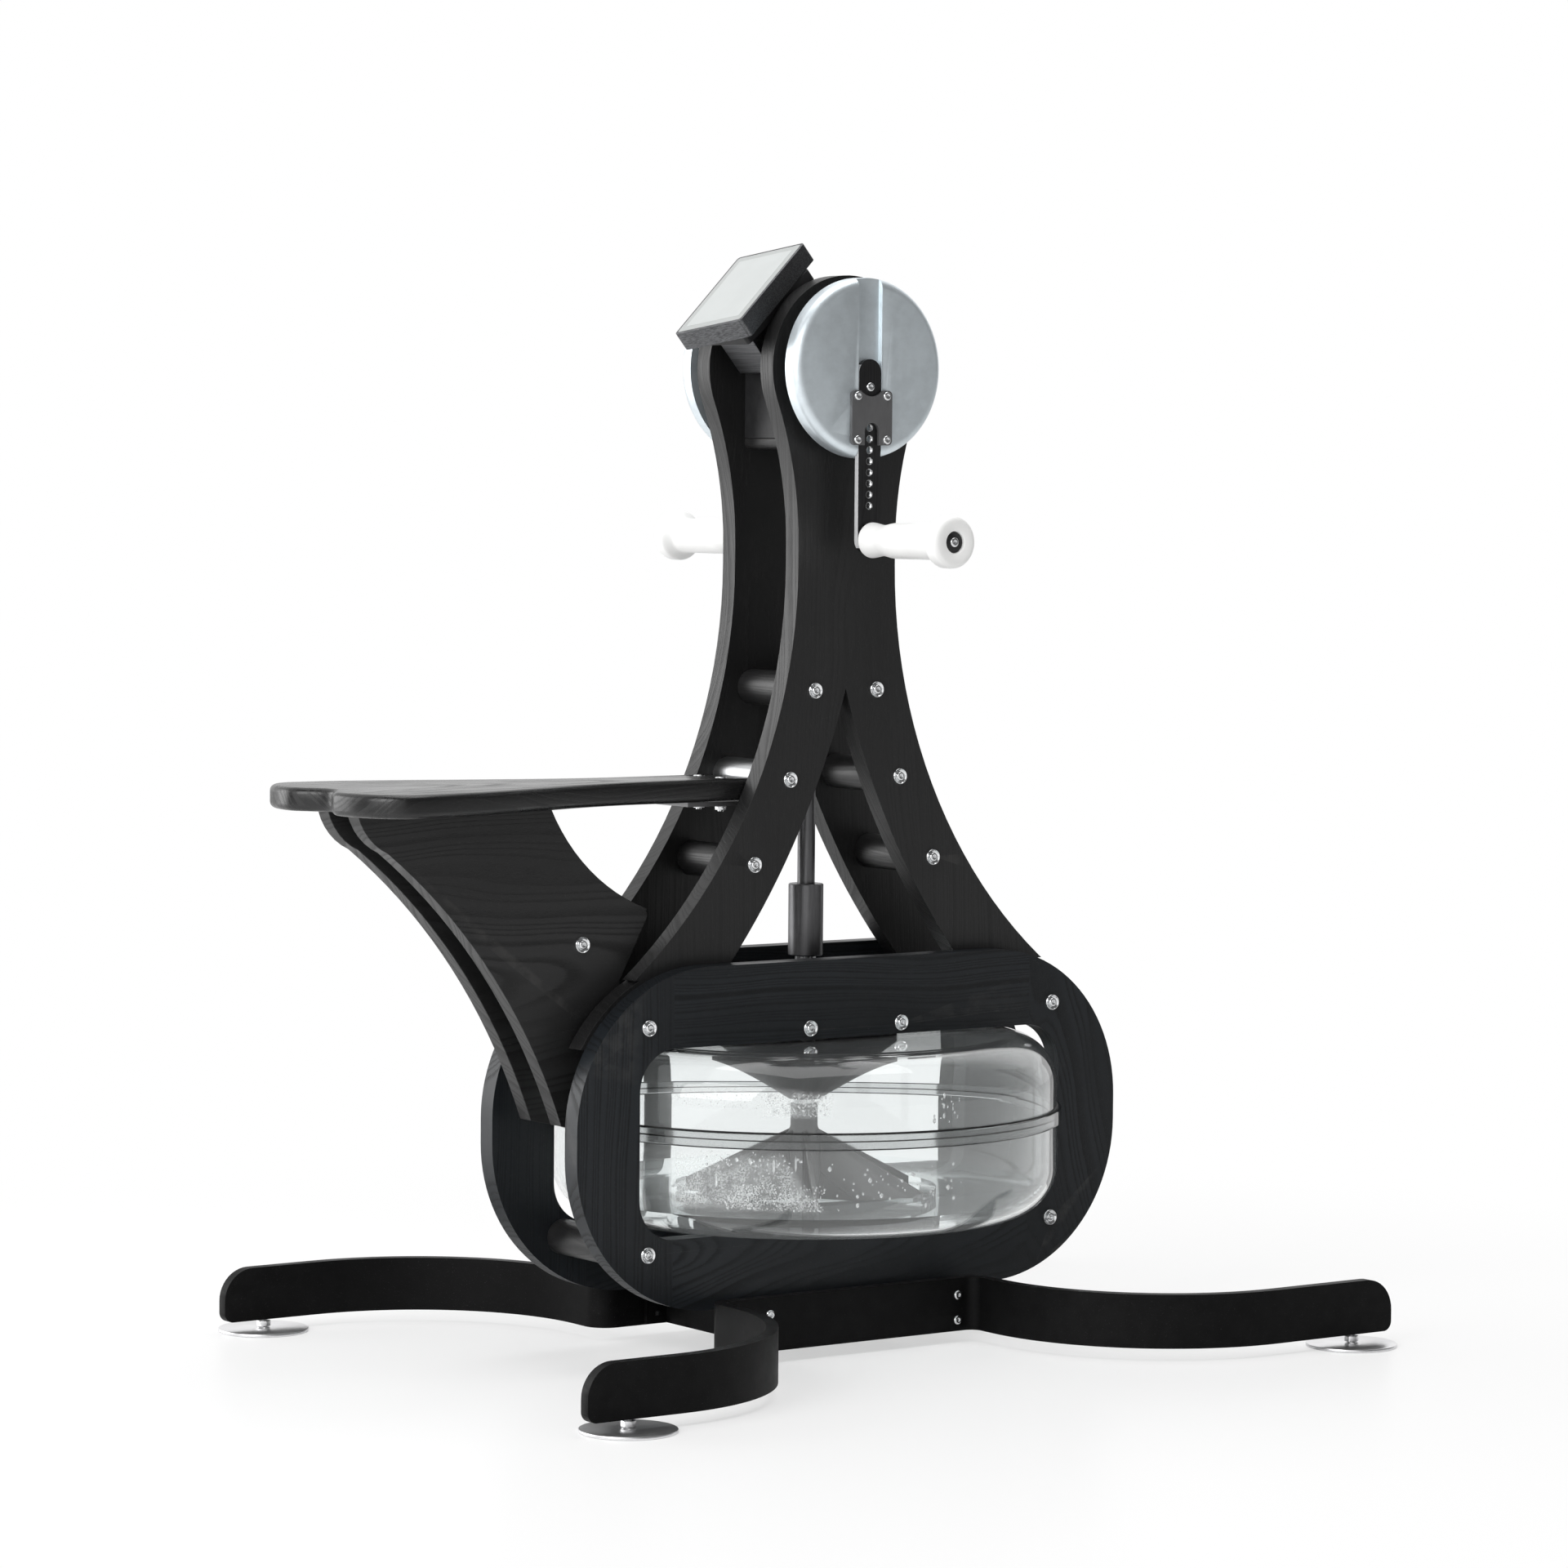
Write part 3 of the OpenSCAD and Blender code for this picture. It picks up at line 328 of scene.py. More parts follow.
def worn_edge(graph: Graph, ins: Sockets) -> Sockets:
    """A mask along the outer edges, broken up in patches, for slight edge wear and a painted edge
    highlight.
    """
    pointed = graph.node("ShaderNodeNewGeometry").outputs["Pointiness"]
    patchy = graph.span(graph.noise(ins["Position"], 60.0, 4.0, 0.6), 0.35, 0.65)
    return {"Edge": graph.times(graph.span(pointed, 0.52, 0.60), patchy)}


# ---- finishes ----


@dataclass(frozen=True)
class Finish:
    """What every finish has: a name, its slot and the material it makes once."""

    name: str
    slot: str
    made: ClassVar[dict[str, bpy.types.Material]] = {}

    def material(self) -> bpy.types.Material:
        """Returns the finish's material, building it the first time."""
        if self.name not in Finish.made:
            made = bpy.data.materials.new(self.name)
            graph = Graph.emptied(made)
            surface = graph.node("ShaderNodeBsdfPrincipled", self.dress(graph)).outputs[0]
            graph.node("ShaderNodeOutputMaterial", {"Surface": surface})
            Finish.made[self.name] = made
        return Finish.made[self.name]

    def dress(self, graph: Graph) -> Sockets:
        """Gives what the surface shader's sockets take."""
        raise NotImplementedError


@dataclass(frozen=True)
class StainedAsh(Finish):
    """Open-pored ash under a black stain, its rings shown as darker bands.

    The board is cut beside the log's heart, so its faces show long arches
    where the rings run out of them.
    """

    centre: Point = (0.0, 0.0, 0.0)
    grain: Grain = Grain.ALONG_X
    heart: Span = (0.085, 0.01)
    tilt: Span = (5.0, 1.5)
    ring: float = 0.0034
    pale: Colour = (0.0092, 0.0092, 0.0095)
    dark: Colour = (0.0058, 0.0058, 0.0060)
    gloss: float = 0.40
    shine: float = 0.5
    pore: ClassVar[Colour] = (0.004, 0.004, 0.004)
    # Outer edges blend towards this colour: bare wood of slight wear, and a painted edge
    # highlight.
    bare: ClassVar[Colour] = (0.11, 0.105, 0.10)
    dust: ClassVar[Colour] = (0.4, 0.4, 0.4)

    def position(self, graph: Graph) -> bpy.types.NodeSocket:
        """Returns the position with the grain along X and the heart on it."""
        return self.from_heart(graph, graph.place(self.grain, self.centre))

    def from_heart(self, graph: Graph, straight: Feed) -> bpy.types.NodeSocket:
        """Turns a straight position slightly and moves it off the heart."""
        across, along = (math.radians(a) for a in self.tilt)
        given = {"Vector": straight, "Location": (0.0, *self.heart),
                 "Rotation": (0.0, along, across)}
        return graph.node("ShaderNodeMapping", given).outputs[0]

    def dress(self, graph: Graph) -> Sockets:
        """Colours the rings, opens the pores and lays a satin oil over them."""
        where = self.position(graph)
        figure = graph.effect(wood_figure, where, Ring=self.ring)
        rings, pores, drift = figure["Rings"], figure["Pores"], figure["Drift"]
        touch = graph.effect(handling, where)
        wear_and_highlight = graph.effect(worn_edge, where)["Edge"]
        tone = graph.shaded(self.pale, graph.span(drift, 0.3, 0.7, 0.75, 1.25))
        patchy = graph.span(drift, 0.36, 0.58, 0.30, 0.95)
        tone = graph.blend(graph.times(rings, patchy), tone, self.dark)
        tone = graph.blend(graph.times(pores, 0.5), tone, self.pore)
        # Paler outer edges: slight wear and a painted edge highlight.
        tone = graph.blend(graph.times(wear_and_highlight, 0.16), tone, self.bare)
        tone = graph.blend(graph.times(touch["Dust"], 0.05), tone, self.dust)
        smudged = graph.times(touch["Smudge"], 0.06)
        height = graph.plus(pores, graph.times(rings, 0.6))
        return {
            "Base Color": tone,
            "Roughness": graph.plus(self.gloss, graph.times(rings, 0.10), smudged),
            "Specular IOR Level": self.shine,
            "Normal": graph.bump(graph.math("SUBTRACT", 1.0, height), 0.00010, 0.7),
        }


@dataclass(frozen=True)
class FramedAsh(StainedAsh):
    """A panel glued up from two rails and, past joint, two upright stiles."""

    joint: float = 0.223

    def position(self, graph: Graph) -> bpy.types.NodeSocket:
        """Returns the position on the rail or on the stile that it lies in."""
        rail = graph.place(Grain.ALONG_X, self.centre)
        stile = graph.place(Grain.ALONG_Z, self.centre)
        stile = graph.vector("ADD", stile, (0.4, 0.03, 0.11))
        along = graph.node("ShaderNodeSeparateXYZ", {0: rail}).outputs["X"]
        past = graph.math("GREATER_THAN", graph.math("ABSOLUTE", along), self.joint)
        mixed = graph.node("ShaderNodeMix", {0: past, 4: rail, 5: stile}, data_type="VECTOR")
        return self.from_heart(graph, mixed.outputs[1])


@dataclass(frozen=True)
class SatinMetal(Finish):
    """Metal with a turned or blasted skin, faint streaks and smudges."""

    colour: Colour = (0.7, 0.7, 0.7)
    rough: float = 0.35
    streak: Point = (20.0, 900.0, 900.0)
    streaks: float = 0.08
    mottle: float = 0.06
    metal: float = 1.0
    depth: ClassVar[float] = 0.00003

    def dress(self, graph: Graph) -> Sockets:
        """Varies the metal's tone and roughness along its tool marks."""
        where = graph.place()
        touch = graph.effect(handling, where)
        skin = graph.effect(fine_grain, where, Pitch=2200.0)
        lines = graph.noise(where, self.streak, 3.0, 0.65)
        cloud = graph.span(skin["Tone"], 0.35, 0.65, 1.0 - self.mottle, 1.0)
        shade = graph.times(cloud, graph.span(lines, 0.3, 0.7, 1.0 - self.streaks, 1.0))
        smudged = graph.times(touch["Smudge"], 0.06)
        scratched = graph.times(touch["Scratch"], 0.05)
        return {
            "Base Color": graph.shaded(self.colour, shade),
            "Roughness": graph.plus(self.rough, smudged, scratched),
            "Metallic": self.metal,
            "Normal": graph.bump(graph.plus(lines, skin["Height"]), self.depth),
        }


@dataclass(frozen=True)
class Coated(Finish):
    """Powder coat, moulded plastic, rubber or white grip, finely speckled."""

    colour: Colour = (0.03, 0.03, 0.03)
    rough: float = 0.5
    pitch: float = 1500.0
    depth: float = 0.00005
    tone: float = 0.12
    shine: float = 0.5
    # How far the outer edges blend towards the edge colour: slight wear and a painted edge
    # highlight.
    rubbed: float = 0.10
    bare: Colour = (0.2, 0.2, 0.2)
    dust: ClassVar[Colour] = (0.5, 0.5, 0.5)

    def dress(self, graph: Graph) -> Sockets:
        """Speckles the coat, and blends its edges towards the edge colour, as slight wear and a
        painted edge highlight.
        """
        where = graph.place()
        skin = graph.effect(fine_grain, where, Pitch=self.pitch)
        touch = graph.effect(handling, where)
        wear_and_highlight = graph.effect(worn_edge, where)["Edge"]
        shade = graph.span(skin["Tone"], 0.35, 0.65, 1.0 - self.tone, 1.0)
        tone = graph.shaded(self.colour, shade)
        # Outer edges towards the edge colour: slight wear and a painted edge highlight.
        tone = graph.blend(graph.times(wear_and_highlight, self.rubbed), tone, self.bare)
        return {
            "Base Color": graph.blend(graph.times(touch["Dust"], 0.05), tone, self.dust),
            "Roughness": graph.plus(self.rough, graph.times(touch["Smudge"], 0.07)),
            "Specular IOR Level": self.shine,
            "Normal": graph.bump(skin["Height"], self.depth),
        }


@dataclass(frozen=True)
class ClearWall(Finish):
    """Clear plastic or water, with a faint haze of handling."""

    colour: Colour = (0.95, 0.97, 0.97)
    rough: float = 0.0
    index: float = 1.47
    haze: float = 0.02
    ripple: float = 0.0
    clear: float = 1.0

    def dress(self, graph: Graph) -> Sockets:
        """Lets light through, and hazes or ripples the surface slightly."""
        where = graph.place()
        smudge = graph.effect(handling, where)["Smudge"]
        given = {
            "Base Color": (*self.colour, 1.0),
            "Roughness": graph.math("MULTIPLY_ADD", smudge, self.haze, self.rough),
            "Transmission Weight": self.clear,
            "IOR": self.index,
        }
        if self.ripple > 0.0:
            given["Normal"] = graph.bump(graph.noise(where, 24.0, 2.0, 0.4), self.ripple)
        return given


@dataclass(frozen=True)
class MistFilm(Finish):
    """Fine condensation, as dense as the mesh's own "mist" attribute says."""

    colour: Colour = (0.82, 0.83, 0.83)
    thin: float = 0.22
    dense: float = 0.75

    def dress(self, graph: Graph) -> Sockets:
        """Breaks the film up into fine droplets by its alpha."""
        where = graph.place()
        grains = graph.noise(where, 620.0, 2.0, 0.6)
        grains = graph.span(grains, 0.40, 0.60, self.thin, self.dense)
        drift = graph.span(graph.noise(where, 60.0, 3.0, 0.6), 0.30, 0.62, 0.35, 1.0)
        mist = graph.node("ShaderNodeAttribute", attribute_name="mist").outputs["Fac"]
        return {
            "Base Color": (*self.colour, 1.0),
            "Roughness": 0.35,
            "Alpha": graph.times(graph.times(grains, drift), mist),
            "Normal": graph.bump(grains, 0.0003),
        }


# ---- shapes ----


class Shape:
    """A bmesh that grows by operators and ends as one shown piece."""

    def __init__(self) -> None:
        """Starts empty."""
        self.bm = bmesh.new()

    @classmethod
    def copy_of(cls, node: str) -> "Shape":
        """Copies a CAD node's mesh, merged, its flat faces made whole."""
        made = cls()
        made.bm.from_mesh(frame["nodes"][node].data)
        bmesh.ops.remove_doubles(made.bm, verts=made.bm.verts, dist=2e-6)
        bmesh.ops.dissolve_limit(
            made.bm, angle_limit=math.radians(0.5), verts=made.bm.verts, edges=made.bm.edges
        )
        return made

    @classmethod
    def turned(cls, profile: Profile, steps: int = 48) -> "Shape":
        """Turns a profile of (radius, height) round Z.

        Args:
            profile: its points, from one end to the other.
            steps: how many steps a full turn takes.

        Returns:
            The turned shape, with its poles merged.
        """
        made = cls()
        points = [made.bm.verts.new((r / MM, 0.0, z / MM)) for r, z in profile]
        lines = [made.bm.edges.new(pair) for pair in zip(points, points[1:])]
        bmesh.ops.spin(
            made.bm, geom=points + lines, cent=(0, 0, 0), axis=(0, 0, 1), dvec=(0, 0, 0),
            angle=math.tau, steps=steps, use_merge=True, use_duplicate=False,
        )
        bmesh.ops.remove_doubles(made.bm, verts=made.bm.verts, dist=1e-6)
        return made.outward()

    @classmethod
    def ring_turned(cls, profile: Profile, steps: int = 48) -> "Shape":
        """Turns a closed profile, which meets its own start, round Z."""
        return cls.turned([*profile, profile[0]], steps)

    @classmethod
    def rounded_plate(
        cls, width: float, height: float, radius: float, low: float, high: float
    ) -> "Shape":
        """A plate lying flat round the origin, its four corners rounded.

        Args:
            width: its size along X.
            height: its size along Y.
            radius: its corners' radius.
            low: height of its underside.
            high: height of its upper face.

        Returns:
            The plate.
        """
        made = cls()
        size = Matrix.Diagonal((width / MM, height / MM, (high - low) / MM, 1.0))
        middle = Matrix.Translation((0.0, 0.0, (low + high) / 2 / MM))
        bmesh.ops.create_cube(made.bm, size=1.0, matrix=middle @ size)
        upright = [e for e in made.bm.edges
                   if abs(e.verts[0].co.z - e.verts[1].co.z) > (high - low) / 2 / MM]
        return made.bevelled(upright, radius, 6)

    @classmethod
    def nut(cls, radius: float, height: float, edge: float) -> "Shape":
        """A hexagon nut with softened edges, standing on z = 0.

        Args:
            radius: from its middle to a corner.
            height: its height.
            edge: how wide its edges' bevel is.

        Returns:
            The nut.
        """
        made = cls()
        bmesh.ops.create_cone(
            made.bm, cap_ends=True, segments=6, radius1=radius / MM, radius2=radius / MM,
            depth=height / MM, matrix=Matrix.Translation((0, 0, height / MM / 2)),
        )
        return made.bevelled(made.sharp(30.0), edge, 2)

    def outward(self) -> "Shape":
        """Turns every face outwards."""
        bmesh.ops.recalc_face_normals(self.bm, faces=self.bm.faces)
        return self

    def sharp(self, angle: float) -> list[bmesh.types.BMEdge]:
        """Finds the edges that turn more than the angle, in degrees."""
        self.bm.normal_update()
        return [e for e in self.bm.edges
                if len(e.link_faces) == 2 and e.calc_face_angle() > math.radians(angle)]

    def bevelled(
        self, edges: list[bmesh.types.BMEdge], width: float, segments: int, clamp: bool = True
    ) -> "Shape":
        """Bevels some of the shape's edges.

        Args:
            edges: the edges.
            width: the bevel's width.
            segments: the bevel's segments.
            clamp: stops bevels from running over each other.

        Returns:
            The shape itself.
        """
        bmesh.ops.bevel(
            self.bm, geom=edges, offset=width / MM, offset_type="OFFSET", segments=segments,
            profile=0.5, affect="EDGES", clamp_overlap=clamp, material=-1,
        )
        return self

    def moved(self, matrix: Matrix) -> "Shape":
        """Transforms the whole shape."""
        bmesh.ops.transform(self.bm, matrix=matrix, verts=self.bm.verts)
        return self

    def reshaped(self, rule: Callable[[Vector, float], float]) -> "Shape":
        """Pulls each vertex towards or from Z, by its place and its reach."""
        for vert in self.bm.verts:
            pull = rule(vert.co, math.hypot(vert.co.x, vert.co.y) * MM)
            vert.co = Vector((vert.co.x * pull, vert.co.y * pull, vert.co.z))
        return self

    def plus(self, other: "Shape", place: Matrix = Matrix()) -> "Shape":
        """Adds another shape at a place; the other shape is used up."""
        mesh = bpy.data.meshes.new("pattern")
        other.moved(place).bm.to_mesh(mesh)
        other.bm.free()
        self.bm.from_mesh(mesh)
        bpy.data.meshes.remove(mesh)
        return self

    def repeated(self, places: Iterable[Matrix]) -> "Shape":
        """Repeats the shape at each place, and drops the first one."""
        mesh = bpy.data.meshes.new("pattern")
        self.bm.to_mesh(mesh)
        self.bm.clear()
        for place in places:
            before = len(self.bm.verts)
            self.bm.from_mesh(mesh)
            self.bm.verts.ensure_lookup_table()
            bmesh.ops.transform(self.bm, matrix=place, verts=self.bm.verts[before:])
        bpy.data.meshes.remove(mesh)
        return self.outward()


@dataclass
class SubAssembly:
    """Shows shapes as pieces that ride on one body."""

    body: ClassVar[str] = "frame"

    def show(
        self,
        shape: Shape,
        name: str,
        finish: Finish,
        nodes: Sequence[str] = (),
        smooth: float = 32.0,
        body: str = "",
        slot: str = "",
    ) -> bpy.types.Object:
        """Makes a shape a shown piece.

        Args:
            shape: what is shown; it is used up.
            name: the piece's name.
            finish: its material.
            nodes: the CAD nodes that it stands for.
            smooth: edges that turn less than this are shaded smooth.
            body: the body that it rides on, if not the sub-assembly's own.
            slot: the record's material slot, if not the finish's own.

        Returns:
            The piece.
        """
        mesh = bpy.data.meshes.new(name)
        shape.bm.to_mesh(mesh)
        shape.bm.free()
        mesh.materials.append(finish.material())
        mesh.shade_smooth()
        mesh.set_sharp_from_angle(angle=math.radians(smooth))
        piece = bpy.data.objects.new(name, mesh)
        bpy.context.scene.collection.objects.link(piece)
        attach(piece, body or self.body)
        if nodes:
            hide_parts(*nodes)
        log.info("%s: %d faces, on %s", name, len(mesh.polygons), body or self.body)
        return piece

    def eased_copy(
        self, node: str, name: str, finish: Finish, width: float, segments: int = 2
    ) -> bpy.types.Object:
        """Shows a CAD node's copy with rounded edges in the node's place.

        Args:
            node: the CAD node.
            name: the piece's name.
            finish: its material.
            width: how wide the rounding is.
            segments: the rounding's segments.

        Returns:
            The piece.
        """
        body = frame["nodes"][node]["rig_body"]
        piece = self.show(Shape.copy_of(node), name, finish, (node,), body=body)
        piece.data.set_sharp_from_angle(angle=math.radians(60.0))
        made = piece.modifiers.new("eased edges", "BEVEL")
        made.width = width / MM
        made.segments = segments
        made.limit_method = "ANGLE"
        made.angle_limit = math.radians(30.0)
        made.harden_normals = True
        made.use_clamp_overlap = True
        return piece

    @staticmethod
    def dress_node(node: str, finish: Finish) -> None:
        """Gives a CAD node that stays in view its finish."""
        mesh = frame["nodes"][node].data
        mesh.materials.clear()
        mesh.materials.append(finish.material())
        log.info("%s keeps its shape and takes %s", node, finish.name)


# ---- finishes of this machine ----

CHROME = SatinMetal("polished chrome", "screw_chrome", (0.80, 0.81, 0.82), 0.12, streaks=0.04,
                    mottle=0.03)
STEEL = SatinMetal("fine turned steel", "bright_steel", (0.62, 0.63, 0.64), 0.28,
                   (900, 25, 900), 0.16)
FOOT_STEEL = SatinMetal("brushed foot steel", "bright_steel", (0.86, 0.86, 0.87), 0.30,
                        (30, 900, 900))
ALUMINIUM = SatinMetal("satin aluminium", "drum_aluminium", (0.76, 0.83, 0.87), 0.38,
                       (90, 90, 110), 0.05, 0.07, 0.72)
GUNMETAL = SatinMetal("dark satin steel", "dark_steel", (0.175, 0.175, 0.18), 0.36,
                      (500, 500, 24), 0.2)
PLATE_METAL = SatinMetal("grey clamp plate", "dark_steel", (0.155, 0.155, 0.158), 0.38,
                         (600, 30, 60), metal=0.5)
ARM_METAL = SatinMetal("blackened arm steel", "arm_steel", (0.07, 0.07, 0.072), 0.34,
                       (900, 60, 16), 0.3)
ARM_EDGE = SatinMetal("bright arm edge", "arm_steel", (0.70, 0.70, 0.71), 0.5, (900, 60, 16),
                      metal=0.25)
CASE_METAL = SatinMetal("dark brushed case", "black_plastic", (0.175, 0.178, 0.185), 0.38,
                        (900, 14, 900), 0.55)
POWDER = Coated("black powder coat", "black_base", (0.004, 0.004, 0.0042), 0.46, depth=0.00003,
                shine=0.10, rubbed=0.04)
PLASTIC = Coated("black moulded plastic", "black_plastic", (0.012, 0.012, 0.013), 0.48, 1100.0,
                 shine=0.4)
PADDLE_GREY = Coated("grey moulded paddle", "black_plastic", (0.14, 0.14, 0.141), 0.5, 1100.0,
                     shine=0.4)
SOFT_RUBBER = Coated("soft black rubber", "rubber", (0.015, 0.015, 0.015), 0.75, shine=0.3)
GRIP_WHITE = Coated("white grip", "white_grip", (0.92, 0.92, 0.91), 0.38, depth=0.00001,
                    tone=0.02, bare=(0.9, 0.9, 0.9))
SCREEN_GREY = Coated("pale display", "screen", (0.50, 0.52, 0.515), 0.38, depth=0.000004,
                     tone=0.03, rubbed=0.0)
DISPLAY_BORDER = Coated("display border", "screen", (0.40, 0.415, 0.41), 0.38, depth=0.000004,
                        tone=0.03, rubbed=0.0)
CLEAR = ClearWall("clear tank wall", "clear_tank", clear=0.985)
HAZY = ClearWall("hazy tank wall", "clear_tank", clear=0.95)
BAND = ClearWall("clear seam band", "clear_tank", (0.66, 0.67, 0.67), 0.05)
WATER = ClearWall("still water", "water", index=1.03, haze=0.0, ripple=0.0001)
DEW = ClearWall("dew on the wall", "clear_tank", (0.95, 0.96, 0.96), 0.15, 1.33, 0.0, clear=0.72)
MIST = MistFilm("mist on the wall", "clear_tank")


# ---- sub-assemblies ----


@dataclass
class SidePanels(SubAssembly):
    """The two long panels with their windows, and the dowels between them."""

    ease: float = 2.6

    def build(self) -> None:
        """Shows both panels, the dowels and the bars over the tank."""
        cuts = ((Side.RIGHT, (0.070, 0.115), (7.0, 2.0)), (Side.LEFT, (-0.080, 0.09), (-6.0, 1.0)))
        for side, heart, tilt in cuts:
            name = side.name.lower()
            finish = FramedAsh(
                f"stained ash of the {name} panel", "stained_ash",
                shaft_point(0, side.value * PANEL_MIDDLE, 229.5), heart=heart, tilt=tilt,
                ring=0.0046, pale=(0.0098, 0.0120, 0.0146), dark=(0.0036, 0.0046, 0.0058),
                shine=0.32,
            )
            self.eased_copy(f"panel_{name}", f"side_panel_{name}", finish, self.ease, 3)
        dowel = StainedAsh(
            "stained dowel", "dark_dowel", shaft_point(0, 0, 344), Grain.ALONG_Y, (0.2, 0.2),
            ring=0.004, pale=(0.012, 0.012, 0.0125), dark=(0.008, 0.008, 0.0085), gloss=0.36,
        )
        self.eased_copy("panel_dowels", "panel_cross_dowels", dowel, 0.8)
        self.eased_copy("tank_bars", "tank_cross_bars", dowel, 0.8)
        self.eased_copy("upright_dowels", "upright_cross_dowels", dowel, 0.8)
        self.eased_copy("gusset_spacer", "gusset_spacer_dowel", dowel, 0.6)


@dataclass
class Uprights(SubAssembly):
    """The forked uprights with their round heads."""

    middle: float = 56.0
    ease: float = 2.2

    def build(self) -> None:
        """Shows both uprights."""
        for side, heart in ((Side.RIGHT, (0.062, 0.012)), (Side.LEFT, (-0.075, -0.02))):
            name = side.name.lower()
            finish = StainedAsh(
                f"stained ash of the {name} upright", "stained_ash",
                shaft_point(0, side.value * self.middle, 700), Grain.ALONG_Z, heart,
                (side.value * -1.5, 0.6), 0.0038,
            )
            self.eased_copy(f"upright_{name}", f"upright_board_{name}", finish, self.ease, 3)


@dataclass(frozen=True)
class Screw:
    """A button-headed screw with a hexagon socket.

    Its head and shank are given by their radii, its socket by the width
    across the flats, and its length is counted below the head.
    """

    head: float
    height: float
    flats: float
    shank: float
    length: float

    def shape(self) -> Shape:
        """The screw, standing on z = 0."""
        head, height, shank, end = self.head, self.height, self.shank, -self.length
        floor = height - min(1.5, height * 0.62)
        inner = self.flats / 2
        made = Shape.turned([
            (0, floor - 0.35), (inner * 0.72, floor), (inner, floor), (inner, height - 0.12),
            (inner + 0.18, height), (head * 0.72, height * 0.97), (head * 0.88, height * 0.80),
            (head * 0.97, height * 0.52), (head, height * 0.22), (head * 0.985, 0.0),
            (shank, 0.0), (shank, end + 0.4), (shank - 0.4, end), (0, end),
        ], 24)

        def hexed(co: Vector, reach: float) -> float:
            if reach < 1e-3 or reach > inner + 0.25 or co.z * MM < floor - 0.5:
                return 1.0
            sixth = math.pi / 3
            return 1.0 / math.cos(math.atan2(co.y, co.x) % sixth - sixth / 2)

        return made.reshaped(hexed)


@dataclass
class Fixings(SubAssembly):
    """Socket screws in cup washers on the timber, and the other screws."""

    cup: Profile = (
        (3.15, 0.05), (8.5, 0.05), (8.46, 0.9), (8.25, 1.7), (7.9, 2.15), (7.45, 2.2), (7.1, 1.9),
        (6.4, 1.15), (5.7, 0.75), (3.15, 0.7),
    )
    panel_face: float = 89.0
    upright_face: float = 67.0
    gusset_face: float = 38.0
    bar_face: float = 109.0
    on_panel: Sequence[Span] = ((253, 344), (253, 118), (57, 333.4))
    on_upright: Sequence[Span] = ((38.5, 673.5), (68.8, 584), (112, 499.5))
    on_gusset: Span = (-299, 425)
    on_bar: float = 118.0
    bar_rows: Span = (24, 50)
    channel_top: float = 52.0
    on_seat: Span = (-121, 19.5)
    seat_top: float = 583.8
    nut_foot: float = 552.5
    timber_screw: Screw = Screw(4.7, 2.6, 4.2, 3.0, 36.0)
    base_screw: Screw = Screw(5.0, 2.6, 3.6, 3.0, 16.0)
    seat_screw: Screw = Screw(6.0, 2.4, 4.0, 3.0, 33.0)

    def timber_places(self) -> list[Matrix]:
        """Where the cup washers sit, on both sides of the machine."""
        spots = [(sx * x, self.panel_face, z) for sx in (-1, 1) for x, z in self.on_panel]
        spots += [(sx * x, self.upright_face, z) for sx in (-1, 1) for x, z in self.on_upright]
        spots.append((self.on_gusset[0], self.gusset_face, self.on_gusset[1]))
        turns = random.Random(7)
        return [facing(side, *spot) @ Matrix.Rotation(turns.uniform(0.0, math.tau), 4, "Z")
                for side in Side for spot in spots]

    def build(self) -> None:
        """Shows the cup washers and every screw."""
        places = self.timber_places()
        cups = Shape.ring_turned(self.cup, 32).repeated(places)
        self.show(cups, "chrome_cup_washers", CHROME, ("cup_washers",), 40)
        lift = Matrix.Translation((0, 0, 0.00075))
        timber = self.timber_screw.shape().repeated([p @ lift for p in places])
        self.show(timber, "chrome_socket_screws", CHROME, ("frame_screws",), 40)
        x, under = self.on_bar, Matrix.Rotation(math.pi, 4, "X")
        spots = [facing(side, sx * x, self.bar_face, z)
                 for side in Side for sx in (-1, 1) for z in self.bar_rows]
        spots += [standing(sx * x, side.value * PANEL_MIDDLE, self.channel_top) @ under
                  for side in Side for sx in (-1, 1)]
        base = self.base_screw.shape().repeated(spots)
        self.show(base, "base_socket_screws", CHROME, ("base_screws",), 40)
        x, out = self.on_seat
        heads, nuts = ([standing(x, side.value * out, z) for side in Side]
                       for z in (self.seat_top, self.nut_foot))
        seat = self.seat_screw.shape().repeated(heads)
        seat.plus(Shape.nut(5.8, 4.4, 0.5).repeated(nuts))
        self.show(seat, "seat_neck_screws", CHROME, ("seat_screws",), 40)


